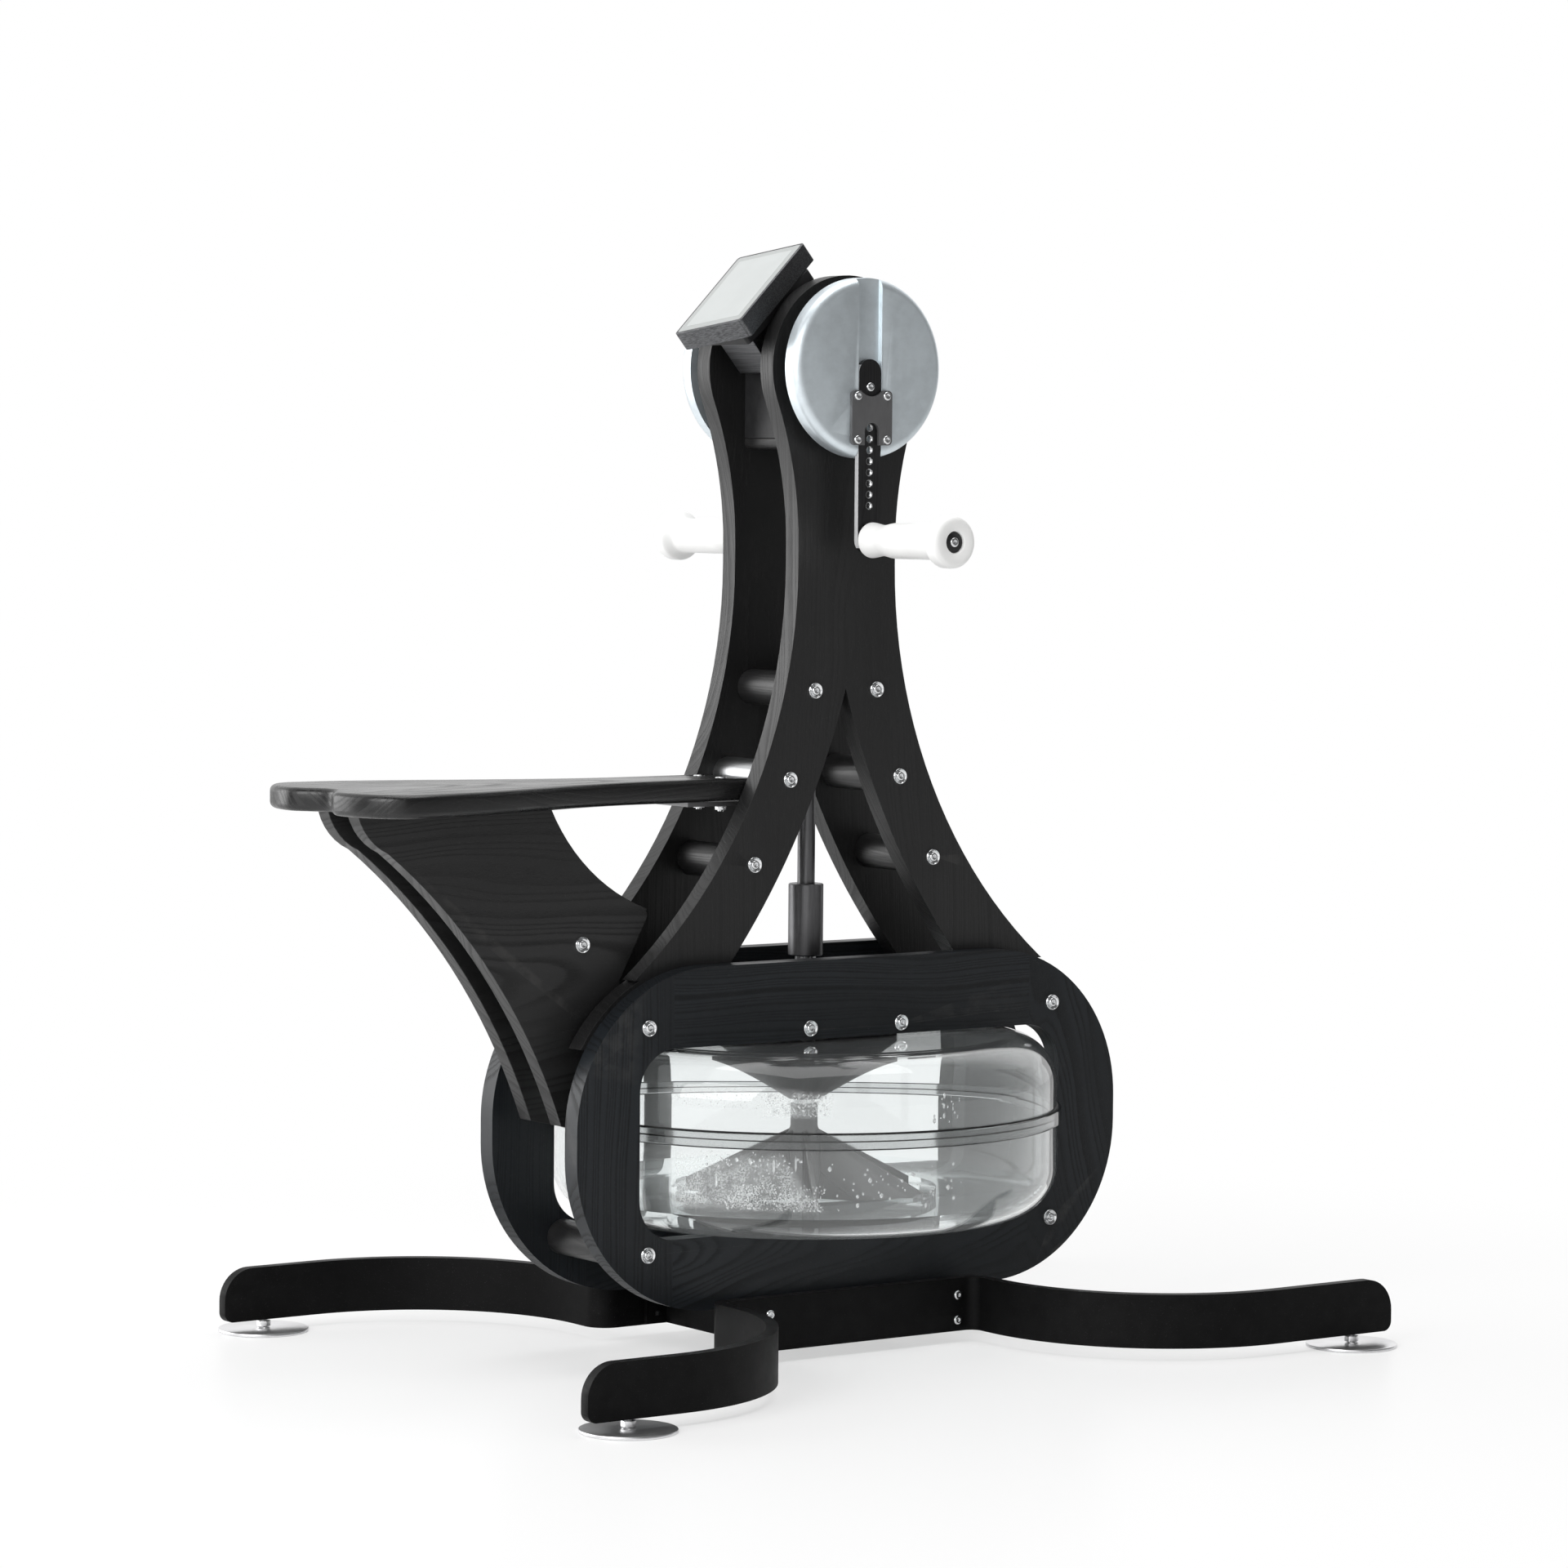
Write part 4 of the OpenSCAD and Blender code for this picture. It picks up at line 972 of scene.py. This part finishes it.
@dataclass
class Base(SubAssembly):
    """The bent flat bars, the channels between them and the feet."""

    disc: float = 46.96
    stud: float = 4.0
    pitch: float = 1.25
    rear_foot: float = -443.0
    front_foot: float = 451.0
    half_width: float = 342.0

    def thread(self, low: float, high: float) -> Profile:
        """A stud's outline with a ridge every pitch, from low to high."""
        half = self.pitch / 2
        ridges = [(self.stud - 0.6 * (i % 2), low + i * half)
                  for i in range(int((high - low) / half))]
        return [*ridges, (self.stud, high)]

    def foot(self) -> Shape:
        """A polished disc with a threaded stud and a lock nut."""
        disc = self.disc
        made = Shape.turned([
            (0, 0), (disc - 0.9, 0), (disc - 0.2, 0.3), (disc, 1.0), (disc, 2.6),
            (disc - 0.3, 3.2), (disc - 1.0, 3.5), (6.8, 3.5), (6.2, 4.2), (self.stud, 4.4),
            *self.thread(4.6, 38.0), (0, 38.5),
        ], 72)
        return made.plus(Shape.nut(7.5, 6.0, 0.7), Matrix.Translation((0, 0, 0.005)))

    def build(self) -> None:
        """Shows the bars, the channels and the four feet."""
        for side in Side:
            name = side.name.lower()
            self.eased_copy(f"base_bar_{name}", f"flat_bar_{name}", POWDER, 1.1)
        ends = {"rear": self.rear_foot, "front": self.front_foot}
        for end in ends:
            self.eased_copy(f"cross_channel_{end}", f"channel_{end}", POWDER, 0.9)
        for end, x in ends.items():
            for side in Side:
                node = f"foot_{end}_{side.name.lower()}"
                foot = self.foot().moved(standing(x, side.value * self.half_width, 0))
                self.show(foot, f"levelling_{node}", FOOT_STEEL, (node,), 40, node)


@dataclass
class WaterTank(SubAssembly):
    """The clear tank in two halves, its seam band, lid parts and water."""

    radius: float = 260.0
    wall: float = 5.0
    shoulder: float = 50.0
    floor: float = 134.0
    height: float = 185.4
    seam: float = 237.5
    steps: int = 160
    front: float = math.atan2(-BEHIND[1], -BEHIND[0])
    drops: Sequence[tuple] = (
        (420, (-81, 20), (168.5, 194), (0.40, 1.1), 0.3, 1.4),
        (160, (-106, -10), (194, 225.7), (0.35, 1.0), 0.3, 1.4),
        (200, (-36, 22), (262, 283), (0.40, 1.2), 0.3, 1.4),
        (120, (-135, -30), (269, 288), (0.30, 0.8), 0.3, 1.4),
        (60, (23, 160), (168.5, 215.5), (0.60, 2.4), 0.4, 1.6),
        (22, (126, 152), (252.5, 279), (0.60, 1.9), 0.4, 2.2),
        (26, (-100, 0), (212, 220), (0.80, 2.2), 0.4, 1.3),
    )
    trickles: Profile = ((-87, 196), (-31, 212), (-10, 213))
    films: Sequence[tuple[Span, ...]] = (
        ((-135, -135), (24, -22), (165.5, 226), (1.0, 0.55)),
        ((-138, -138), (0, 0), (266, 290), (0.28, 0.28)),
        ((-46, -40), (26, 30), (259, 287), (0.8, 0.55)),
    )

    @property
    def top(self) -> float:
        """Height of the lid's upper face."""
        return self.floor + self.height

    def corner(self, inset: float, start: float, lower: bool) -> Profile:
        """A shoulder's arc from the flat to the wall.

        Args:
            inset: how far inside the outer face it lies.
            start: the radius that its flat starts at.
            lower: True for the tank's lower half.

        Returns:
            Points of (radius, height), from the flat outwards.
        """
        r = self.shoulder - inset
        middle = self.radius - self.shoulder
        way = -1 if lower else 1
        base = self.floor + self.shoulder if lower else self.top - self.shoulder
        arc = [(middle + r * math.sin(a), base + way * r * math.cos(a))
               for a in (math.radians(90 * i / 16) for i in range(17))]
        return [(start, arc[0][1]), *arc]

    def half(self, lower: bool, start: float) -> Shape:
        """One half of the shell, as a closed wall.

        Args:
            lower: True for the lower half.
            start: radius of the hole in its flat, or 0.

        Returns:
            The half.
        """
        edge = self.seam + (-0.5 if lower else 0.5)
        outer = [*self.corner(0.0, start, lower), (self.radius, edge)]
        inner = [*self.corner(self.wall, start, lower), (self.radius - self.wall, edge)]
        turned = Shape.ring_turned if start else Shape.turned
        return turned([*outer, *reversed(inner)], self.steps)

    def drop(self, rng: random.Random, across: Span, high: Span, size: Span, flat: float,
             tall: float) -> Matrix:
        """A place for one drop on the front wall's inside.

        Args:
            rng: the seeded source of chance.
            across: range along the wall, measured sideways from its front.
            high: range of heights.
            size: range of the drop's radius.
            flat: its thickness as a share of its width.
            tall: the greatest height as a share of its width.

        Returns:
            The drop's place, size included.
        """
        reach = self.radius - self.wall
        angle = self.front + math.asin(rng.uniform(*across) / reach)
        r = (size[0] + (size[1] - size[0]) * rng.random() ** 2.2) / MM
        reach -= 0.1
        place = standing(reach * math.cos(angle), reach * math.sin(angle), rng.uniform(*high))
        wide = r * rng.uniform(0.85, 1.15)
        grow = (r * flat, wide, r * rng.uniform(0.9, 1.0) * rng.uniform(0.7 * tall, tall), 1.0)
        return place @ Matrix.Rotation(angle, 4, "Z") @ Matrix.Diagonal(grow)

    def dew(self) -> Shape:
        """Condensation: scattered drops of several sizes, and trickles."""
        rng = random.Random(11)
        places = [self.drop(rng, *rest) for count, *rest in self.drops for _ in range(count)]
        places += [self.drop(rng, (s, s + 2), (z, z + 2), (1.1, 1.4), 0.3, 9.0)
                   for s, z in self.trickles]
        made = Shape()
        bmesh.ops.create_icosphere(made.bm, subdivisions=1, radius=1.0)
        return made.repeated(places)

    def mist(self, left: Span, right: Span, high: Span, weight: Span) -> Shape:
        """A thin film on the front wall's inside, fading out at its edges.

        Args:
            left: its left edge's place along the wall, at its foot and top.
            right: its right edge's, likewise.
            high: heights of its foot and top.
            weight: how dense it is at its foot and top.

        Returns:
            The film, with the density in the attribute "mist".
        """
        made = Shape()
        layer = made.bm.verts.layers.float.new("mist")
        reach = self.radius - self.wall - 0.6
        columns, rows = 44, 14
        grid = []
        for t in (i / rows for i in range(rows + 1)):
            low, top, z, dense = (a + (b - a) * t for a, b in (left, right, high, weight))
            line = []
            for u in (j / columns for j in range(columns + 1)):
                angle = self.front + math.asin((low + (top - low) * u) / reach)
                at = shaft_point(reach * math.cos(angle), reach * math.sin(angle), z)
                vert = made.bm.verts.new(at)
                vert[layer] = dense * min(1.0, 9.0 * u, 16.0 * (1.0 - u), 6.0 * t, 6.0 * (1.0 - t))
                line.append(vert)
            grid.append(line)
        for below, above in zip(grid, grid[1:]):
            for j in range(columns):
                made.bm.faces.new((below[j], below[j + 1], above[j + 1], above[j]))
        return made

    def seam_band(self) -> tuple[Shape, Shape]:
        """The clear band round the seam, and two thin dark rings along its edges, which draw its
        dark edge lines.
        """
        band = Shape.ring_turned([(260.1, 230.2), (264.5, 230.2), (265.0, 230.7), (265.0, 244.3),
                                  (264.5, 244.8), (260.1, 244.8)], 200)
        low, high = (Shape.ring_turned([(260.05, a), (261.8, a), (261.8, b), (260.05, b)], 200)
                     for a, b in ((228.9, 230.2), (244.8, 246.1)))
        return band, low.plus(high)

    def plug(self) -> Shape:
        """The fill plug, with grip flutes round its cap."""
        cap = Shape.turned([
            (0, -8.0), (13.8, -8.0), (14.8, -7.0), (14.8, 0.0), (18.6, 0.0), (19.6, 0.8),
            (19.8, 2.0), (19.8, 5.2), (19.0, 6.4), (17.6, 7.0), (6.0, 7.0), (5.0, 6.2), (0, 6.0),
        ], 96)

        def fluted(co: Vector, reach: float) -> float:
            if reach <= 18.5:
                return 1.0
            return 1.0 - 0.035 * (0.5 + 0.5 * math.cos(24 * math.atan2(co.y, co.x)))

        return cap.reshaped(fluted)

    def build(self) -> None:
        """Shows the tank, what is on its lid and what is in it."""
        centre = standing(0, 0, 0)
        band, dark_rings = self.seam_band()
        films, *others = (self.mist(*film) for film in self.films)
        for other in others:
            films.plus(other)
        rows = (
            (self.half(True, 0.0).moved(centre), "tank_bowl", HAZY, ("tank_lower",), 40),
            (self.half(False, 19.1).moved(centre), "tank_lid", CLEAR, ("tank_upper",), 40),
            (band.moved(centre), "seam_band", BAND, ("tank_band",), 32),
            # Two thin dark rings that draw the dark lines along the band's edges.
            (dark_rings.moved(centre), "seam_band_lips", SOFT_RUBBER),
            (self.dew(), "condensation", DEW, (), 80),
            (films, "mist_films", MIST, (), 80),
        )
        for shape, name, finish, *rest in rows:
            piece = self.show(shape, name, finish, *rest)
            piece.visible_shadow = finish is SOFT_RUBBER
        self.dress_node("tank_gasket", SOFT_RUBBER)
        self.dress_node("tank_cushions", SOFT_RUBBER)
        self.dress_node("water", WATER)
        frame["nodes"]["water"].visible_shadow = False
        self.eased_copy("bearing_cone", "lid_bearing_cone", PLASTIC, 0.8)
        self.show(self.plug().moved(standing(150, 0, self.top)), "fluted_fill_plug", PLASTIC,
                  ("fill_plug",), 40, "fill_plug")


@dataclass
class Drive(SubAssembly):
    """The paddle, its shafts and the sleeve that couples them."""

    body: ClassVar[str] = "rotor"

    def splined(self) -> Shape:
        """The tank shaft, with splines where it enters the sleeve."""
        r = 11.0
        made = Shape.turned([
            (0, 145), (r - 0.6, 145), (r, 145.6), (r, 371.5), (r - 0.4, 372), (r - 0.4, 372.4),
            (r, 373), (r, 432), (r - 0.8, 432.8), (0, 432.8),
        ], 72)

        def toothed(co: Vector, reach: float) -> float:
            splined = co.z * MM > 372.8 and reach > r - 1.0
            return 0.86 if splined and math.cos(12 * math.atan2(co.y, co.x)) < 0.1 else 1.0

        return made.reshaped(toothed)

    def build(self) -> None:
        """Shows the rotor's pieces and dresses the gears."""
        centre = standing(0, 0, 0)
        sleeve = Shape.ring_turned([
            (9.1, 471.5), (9.1, 436), (11.2, 434.5), (11.2, 398.5), (12.5, 398), (17.0, 398),
            (18.0, 399), (18.0, 471), (17.0, 472), (10.6, 472),
        ], 64)
        rod = Shape.turned([(0, 436.2), (8.4, 436.2), (9.0, 436.8), (9.0, 971.2), (8.2, 972),
                            (0, 972)], 64)
        self.show(self.splined().moved(centre), "splined_tank_shaft", STEEL, ("tank_shaft",))
        self.show(sleeve.moved(centre), "shaft_sleeve", GUNMETAL, ("coupling_sleeve",), 40)
        self.show(rod.moved(centre), "upright_drive_rod", GUNMETAL, ("drive_shaft",), 40)
        self.eased_copy("paddle", "six_blade_paddle", PADDLE_GREY, 0.7)
        for node in ("pinion", "crank_gear"):
            self.dress_node(node, GUNMETAL)
        for node in ("crank_axle", "head_bearings", "shaft_bearing"):
            self.dress_node(node, STEEL)


@dataclass
class Cranks(SubAssembly):
    """The drums, the arms clamped in their slots and the grips."""

    body: ClassVar[str] = "crank"
    arm_back: float = 97.9
    arm_face: float = 103.9
    plate_face: float = 108.0
    plate_middle: float = 949.0
    grip_start: float = 109.0
    grip_length: float = 140.0
    grip_height: float = 826.0
    index_height: float = 980.0
    bore: float = 5.05
    hole_top: float = 939.0
    hole_pitch: float = 11.2
    holes: int = 8
    plate_holes: Span = (18.0, 22.0)
    index_screw: Screw = Screw(4.8, 2.4, 3.6, 3.0, 8.0)
    end_screw: Screw = Screw(5.0, 2.4, 3.4, 2.5, 13.0)
    plate_screw: Screw = Screw(4.6, 2.4, 4.0, 2.5, 10.0)

    def grip(self) -> Shape:
        """The grip, from its bore at the arm to its hollow end."""
        length, bore, waist, knob, rise = self.grip_length, self.bore, 22.0, 27.0, 12.0

        def ease(t: float) -> float:
            t = min(max(t, 0.0), 1.0)
            return t * t * (3 - 2 * t)

        def radius(y: float) -> float:
            dip = 2.4 * (ease(y / waist) - ease(y / waist - 1.0))
            return 18.0 - dip + 8.0 * ease((y - length + knob) / rise)

        ways = [1.6 + 2.0 * waist * i / 24 for i in range(25)]
        ways += [length - knob + rise * i / 14 for i in range(15)]
        arc = [(20.0 + 6.0 * math.cos(a), length - 6.0 + 6.0 * math.sin(a))
               for a in (math.radians(90 * i / 10) for i in range(11))]
        return Shape.ring_turned([
            (bore, 0.4), (bore + 0.4, 0.0), (16.8, 0.0), (17.6, 0.6),
            *((radius(y), y) for y in ways), *arc, (12.0, length), (11.2, length - 0.6),
            (10.8, length - 2.0), (10.8, length - 6.0), (bore, length - 6.0),
        ], 96)

    def fittings(self, side: Side) -> None:
        """Shows one arm's pin, collar, end washer and screws."""
        name = side.name.lower()
        body = f"arm_{name}"
        back, face, start = self.arm_back, self.arm_face, self.grip_start
        end = start + self.grip_length - 5.0
        at = facing(side, 0, 0, self.grip_height)
        pin = Shape.turned([
            (0, back), (5.0, back), (5.0, face), (8.2, face), (9.0, face + 0.7),
            (9.0, start - 1.0), (8.2, start - 0.3), (5.0, start - 0.3), (5.0, end - 0.4),
            (4.6, end), (0, end),
        ], 40).moved(at)
        index = facing(side, 0, face, self.index_height)
        pin.plus(self.index_screw.shape(), index)
        outer = facing(side, 0, end + 2.0, self.grip_height)
        pin.plus(self.end_screw.shape(), outer)
        self.show(pin, f"grip_pin_{name}", CHROME, (f"arm_fittings_{name}",), 40, body,
                  "bright_steel")
        washer = Shape.ring_turned([(2.6, end + 0.1), (10.3, end + 0.1), (10.3, end + 1.6),
                                    (9.8, end + 2.0), (2.6, end + 2.0)], 40)
        self.show(washer.moved(at), f"grip_washer_{name}", PLASTIC, (), 40, body)

    def threads(self, side: Side) -> Shape:
        """Threaded bushes in the row of holes in one arm."""
        start = self.arm_back + 0.2
        ridges = [(3.85 - 0.45 * (i % 2), start + i * 0.55) for i in range(10)]
        bush = Shape.ring_turned([(3.95, start), *ridges, (3.5, start + 5.5),
                                  (3.95, start + 5.5)], 20)
        return bush.repeated([facing(side, 0, 0, self.hole_top - i * self.hole_pitch)
                              for i in range(self.holes)])

    def arm(self, name: str) -> None:
        """Shows one arm, its narrow sides brighter than its faces."""
        arm = self.eased_copy(f"arm_{name}", f"crank_arm_{name}", ARM_METAL, 0.8)
        arm.data.materials.append(ARM_EDGE.material())
        for face in arm.data.polygons:
            face.material_index = 1 if abs(face.normal.x) > 0.8 else 0

    def build(self) -> None:
        """Shows the drums, plates, arms and grips of both sides."""
        for side in Side:
            name = side.name.lower()
            self.eased_copy(f"drum_{name}", f"crank_drum_{name}", ALUMINIUM, 0.4)
            self.eased_copy(f"clamp_plate_{name}", f"slot_plate_{name}", PLATE_METAL, 0.7)
            self.arm(name)
            self.show(self.threads(side), f"arm_threads_{name}", CHROME, (), 40, f"arm_{name}",
                      "bright_steel")
            self.fittings(side)
            grip = self.grip().moved(facing(side, 0, self.grip_start, self.grip_height))
            self.show(grip, f"white_grip_{name}", GRIP_WHITE, (f"grip_{name}",), 40,
                      f"grip_{name}")
        x, z = self.plate_holes
        spots = [facing(side, sx * x, self.plate_face, self.plate_middle + sz * z)
                 for side in Side for sx in (-1, 1) for sz in (-1, 1)]
        screws = self.plate_screw.shape().repeated(spots)
        self.show(screws, "plate_socket_screws", CHROME, ("clamp_screws",), 40)


@dataclass
class Head(SubAssembly):
    """The gearbox between the heads, and the monitor over it."""

    tilt: float = 40.0
    turn: float = 12.0
    screen: Point = (-89.0, 0.0, 1079.0)

    def build(self) -> None:
        """Shows the housing, the board, the block, the plate and the monitor."""
        board = StainedAsh("stained ash of the board", "stained_ash", shaft_point(0, 0, 922),
                           Grain.ALONG_Y, (0.05, 0.03), ring=0.005)
        self.eased_copy("gearbox_housing", "gearbox_case", PLASTIC, 2.2, 3)
        self.eased_copy("gearbox_board", "gearbox_floor", board, 1.0)
        self.eased_copy("monitor_block", "monitor_carrier", CASE_METAL, 1.4)
        self.eased_copy("monitor_plate", "monitor_backing", PLASTIC, 1.6)
        self.eased_copy("monitor_case", "monitor_shell", CASE_METAL, 2.2, 3)
        body = frame["nodes"]["monitor_screen"]["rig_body"]
        place = (standing(*self.screen) @ Matrix.Rotation(math.radians(-self.tilt), 4, "Y")
                 @ Matrix.Rotation(math.radians(self.turn - 90.0), 4, "Z"))
        border = Shape.rounded_plate(91.5, 123.5, 3.0, -0.6, 0.15).moved(place)
        self.show(border, "display_border", DISPLAY_BORDER, (), 30, body)
        display = Shape.rounded_plate(77.0, 108.5, 1.5, -0.6, 0.3).moved(place)
        self.show(display, "display_face", SCREEN_GREY, ("monitor_screen",), 30, body)


@dataclass
class Seat(SubAssembly):
    """The two-lobed seat, its gussets, saddle and steel bar."""

    ease: float = 6.2
    screw_hole: float = 14.0

    def plank(self, screws: Span) -> Shape:
        """The seat's board, its outline rounded over but not its screw holes.

        Args:
            screws: where its two screws stand, sideways by either sign.

        Returns:
            The board.
        """
        board = Shape.copy_of("seat_board")
        holes = [Vector(shaft_point(screws[0], side.value * screws[1], 0)) for side in Side]
        outline = []
        for edge in board.sharp(60.0):
            middle = (edge.verts[0].co + edge.verts[1].co) / 2
            if all((middle - hole).xy.length > self.screw_hole / MM for hole in holes):
                outline.append(edge)
        return board.bevelled(outline, self.ease, 6, False).outward()

    def build(self, fixings: Fixings) -> None:
        """Shows the seat and everything that holds it.

        Args:
            fixings: knows where the seat's screws stand.
        """
        top = StainedAsh("stained ash of the seat", "stained_ash", shaft_point(-330, 0, 574),
                         Grain.FLAT_X, (0.075, 0.02), (4.0, 2.0), 0.0085, gloss=0.24)
        self.show(self.plank(fixings.on_seat), "seat_plank", top, ("seat_board",))
        for side, heart in ((Side.RIGHT, (0.066, 0.015)), (Side.LEFT, (0.070, -0.02))):
            name = side.name.lower()
            finish = StainedAsh(
                f"stained ash of the {name} gusset", "stained_ash",
                shaft_point(-380, side.value * 28, 400), heart=heart, tilt=(6.0, 3.0),
                ring=0.0078, pale=(0.0135, 0.0135, 0.0138), dark=(0.0034, 0.0034, 0.0035),
            )
            self.eased_copy(f"gusset_{name}", f"seat_gusset_{name}", finish, 2.2, 3)
        batten = StainedAsh("stained ash of the batten", "stained_ash", shaft_point(-435, 0, 551))
        self.eased_copy("seat_batten", "seat_underbatten", batten, 1.2)
        self.eased_copy("seat_bracket", "seat_saddle", PLATE_METAL, 0.8)
        self.eased_copy("seat_bar", "seat_steel_bar", STEEL, 0.8)


# ---- studio ----


@dataclass
class Studio:
    """Floor, light and camera, in metres."""

    backdrop: Point = (0.152, 0.988, 0.0)
    soft_box: Point = (-0.853, -0.520, 0.050)
    eye: Point = (-3.07777, -4.36366, 0.89185)
    aim: Point = (0.0, 0.0, 0.5)
    heading: float = -35.33
    dip: float = 3.39
    roll: float = 0.46
    lens: float = 120.114
    ambient: float = 0.50
    front: float = 0.13
    card_top: float = 0.42
    card_far: float = 0.6
    cards: Sequence[tuple[str, Span, float]] = (
        ("right card", (0.162, 0.60), 0.012),
        ("left card", (-0.189, -0.155), 0.04),
    )
    lamps: Sequence[tuple[str, Point, float, float]] = (
        ("key from the left", (-3.4, -0.9, 2.0), 2.4, 70.0),
        ("rim from the left", (-2.6, 3.0, 1.1), 2.6, 62.0),
        ("top", (0.2, 0.0, 4.0), 3.0, 70.0),
    )

    @staticmethod
    def seen(graph: Graph, path: bpy.types.Node) -> bpy.types.NodeSocket:
        """Tells whether the camera sees a thing, plainly or through glass."""
        return graph.math(
            "MAXIMUM", path.outputs["Is Camera Ray"], path.outputs["Is Transmission Ray"]
        )

    @staticmethod
    def put(name: str, data: bpy.types.ID) -> bpy.types.Object:
        """Adds an object to the scene."""
        made = bpy.data.objects.new(name, data)
        bpy.context.scene.collection.objects.link(made)
        return made

    def stage(self, name: str, bm: bmesh.types.BMesh) -> tuple[bpy.types.Object, Graph]:
        """Adds a piece of the studio.

        Args:
            name: its name.
            bm: its mesh, which is used up.

        Returns:
            The piece, and its material's empty node tree.
        """
        mesh = bpy.data.meshes.new(name)
        bm.to_mesh(mesh)
        bm.free()
        made = self.put(name, mesh)
        mesh.materials.append(bpy.data.materials.new(name))
        return made, Graph.emptied(mesh.materials[0])

    def world(self) -> None:
        """White behind the machine, dimmer in front for what it mirrors."""
        world = bpy.data.worlds.new("studio")
        bpy.context.scene.world = world
        graph = Graph.emptied(world)
        way = graph.node("ShaderNodeTexCoord").outputs["Generated"]
        toward, boxed = (graph.vector("DOT_PRODUCT", way, to)
                         for to in (self.backdrop, self.soft_box))
        mirrored = graph.math("MAXIMUM", graph.span(toward, 0.0, 0.40, self.front, 1.0),
                              graph.span(boxed, 0.70, 0.86, 0.0, 1.1))
        path = graph.node("ShaderNodeLightPath")
        seen, glossy = self.seen(graph, path), path.outputs["Is Glossy Ray"]
        matte = graph.times(graph.math("SUBTRACT", 1.0, glossy), self.ambient)
        other = graph.plus(graph.times(glossy, mirrored), matte)
        level = graph.plus(seen, graph.times(graph.math("SUBTRACT", 1.0, seen), other))
        given = {"Color": (1.0, 1.0, 1.0, 1.0), "Strength": level}
        light = graph.node("ShaderNodeBackground", given).outputs[0]
        graph.node("ShaderNodeOutputWorld", {"Surface": light})

    def floor(self) -> None:
        """A pale floor that keeps the shadow and fades to white."""
        bm = bmesh.new()
        bmesh.ops.create_grid(bm, x_segments=1, y_segments=1, size=30.0)
        graph = self.stage("studio_floor", bm)[1]
        given = {"Base Color": (0.92, 0.92, 0.92, 1.0), "Roughness": 0.35,
                 "Specular IOR Level": 0.15}
        matte = graph.node("ShaderNodeBsdfPrincipled", given).outputs[0]
        white = graph.node("ShaderNodeEmission").outputs[0]
        where = graph.node("ShaderNodeTexCoord").outputs["Object"]
        away = graph.vector("LENGTH", graph.vector("MULTIPLY", where, (1.0, 1.0, 0.0)))
        seen = self.seen(graph, graph.node("ShaderNodeLightPath"))
        share = graph.times(graph.span(away, 0.6, 1.5, 0.52, 1.0), seen)
        mixed = graph.node("ShaderNodeMixShader", {0: share, 1: matte, 2: white}).outputs[0]
        graph.node("ShaderNodeOutputMaterial", {"Surface": mixed})

    def card(self, name: str, across: Span, level: float) -> None:
        """Stands a dark card behind the tank, seen only through clear parts.

        Args:
            name: the card's name.
            across: its two sides, measured sideways from the tank's middle.
            level: how bright it looks.
        """
        along = Vector((BEHIND[1], -BEHIND[0], 0.0))
        foot = Vector((SHAFT_X, 0.0, 0.0)) + Vector(BEHIND) * self.card_far
        bm = bmesh.new()
        near, end, top = *across, self.card_top
        corners = ((near, 0.001), (end, 0.001), (end, top), (near, top))
        bm.faces.new([bm.verts.new(foot + along * u + Vector((0, 0, z))) for u, z in corners])
        card, graph = self.stage(name, bm)
        glow = graph.node("ShaderNodeEmission", {"Color": (level, level, level, 1.0)}).outputs[0]
        graph.node("ShaderNodeOutputMaterial", {"Surface": glow})
        card.visible_camera = card.visible_diffuse = False
        card.visible_glossy = card.visible_shadow = False

    def lamp(self, name: str, at: Point, size: float, power: float) -> None:
        """Hangs one soft square lamp that looks at the machine's middle.

        Args:
            name: the lamp's name.
            at: where it hangs.
            size: its side.
            power: its power in watts.
        """
        data = bpy.data.lights.new(name, "AREA")
        data.shape = "SQUARE"
        data.size = size
        data.energy = power
        lamp = self.put(name, data)
        lamp.location = at
        lamp.rotation_mode = "QUATERNION"
        lamp.rotation_quaternion = (Vector(self.aim) - Vector(at)).to_track_quat("-Z", "Y")
        lamp.visible_camera = lamp.visible_transmission = False

    def camera(self) -> None:
        """Places the camera."""
        az, el, roll = (math.radians(a) for a in (self.heading, self.dip, self.roll))
        look = Vector((-math.sin(az) * math.cos(el), math.cos(az) * math.cos(el), -math.sin(el)))
        right = Vector((math.cos(az), math.sin(az), 0.0))
        up = right.cross(look)
        across = right * math.cos(roll) + up * math.sin(roll)
        over = -right * math.sin(roll) + up * math.cos(roll)
        data = bpy.data.cameras.new("camera")
        data.lens = self.lens
        data.sensor_width = 36.0
        data.clip_end = 100.0
        camera = self.put("camera", data)
        turn = Matrix((across, over, -look)).transposed().to_4x4()
        camera.matrix_world = Matrix.Translation(self.eye) @ turn
        bpy.context.scene.camera = camera

    def build(self) -> None:
        """Sets up everything round the machine."""
        bpy.context.scene.view_settings.view_transform = "Standard"
        self.world()
        self.floor()
        self.camera()
        for card in self.cards:
            self.card(*card)
        for lamp in self.lamps:
            self.lamp(*lamp)


def main() -> None:
    """Builds the studio and every sub-assembly in order."""
    logging.basicConfig(level=logging.INFO, format="%(message)s")
    Studio().build()
    fixings = Fixings()
    SidePanels().build()
    Uprights().build()
    fixings.build()
    Base().build()
    WaterTank().build()
    Drive().build()
    Cranks().build()
    Head().build()
    Seat().build(fixings)


if __name__ == "__main__":
    main()
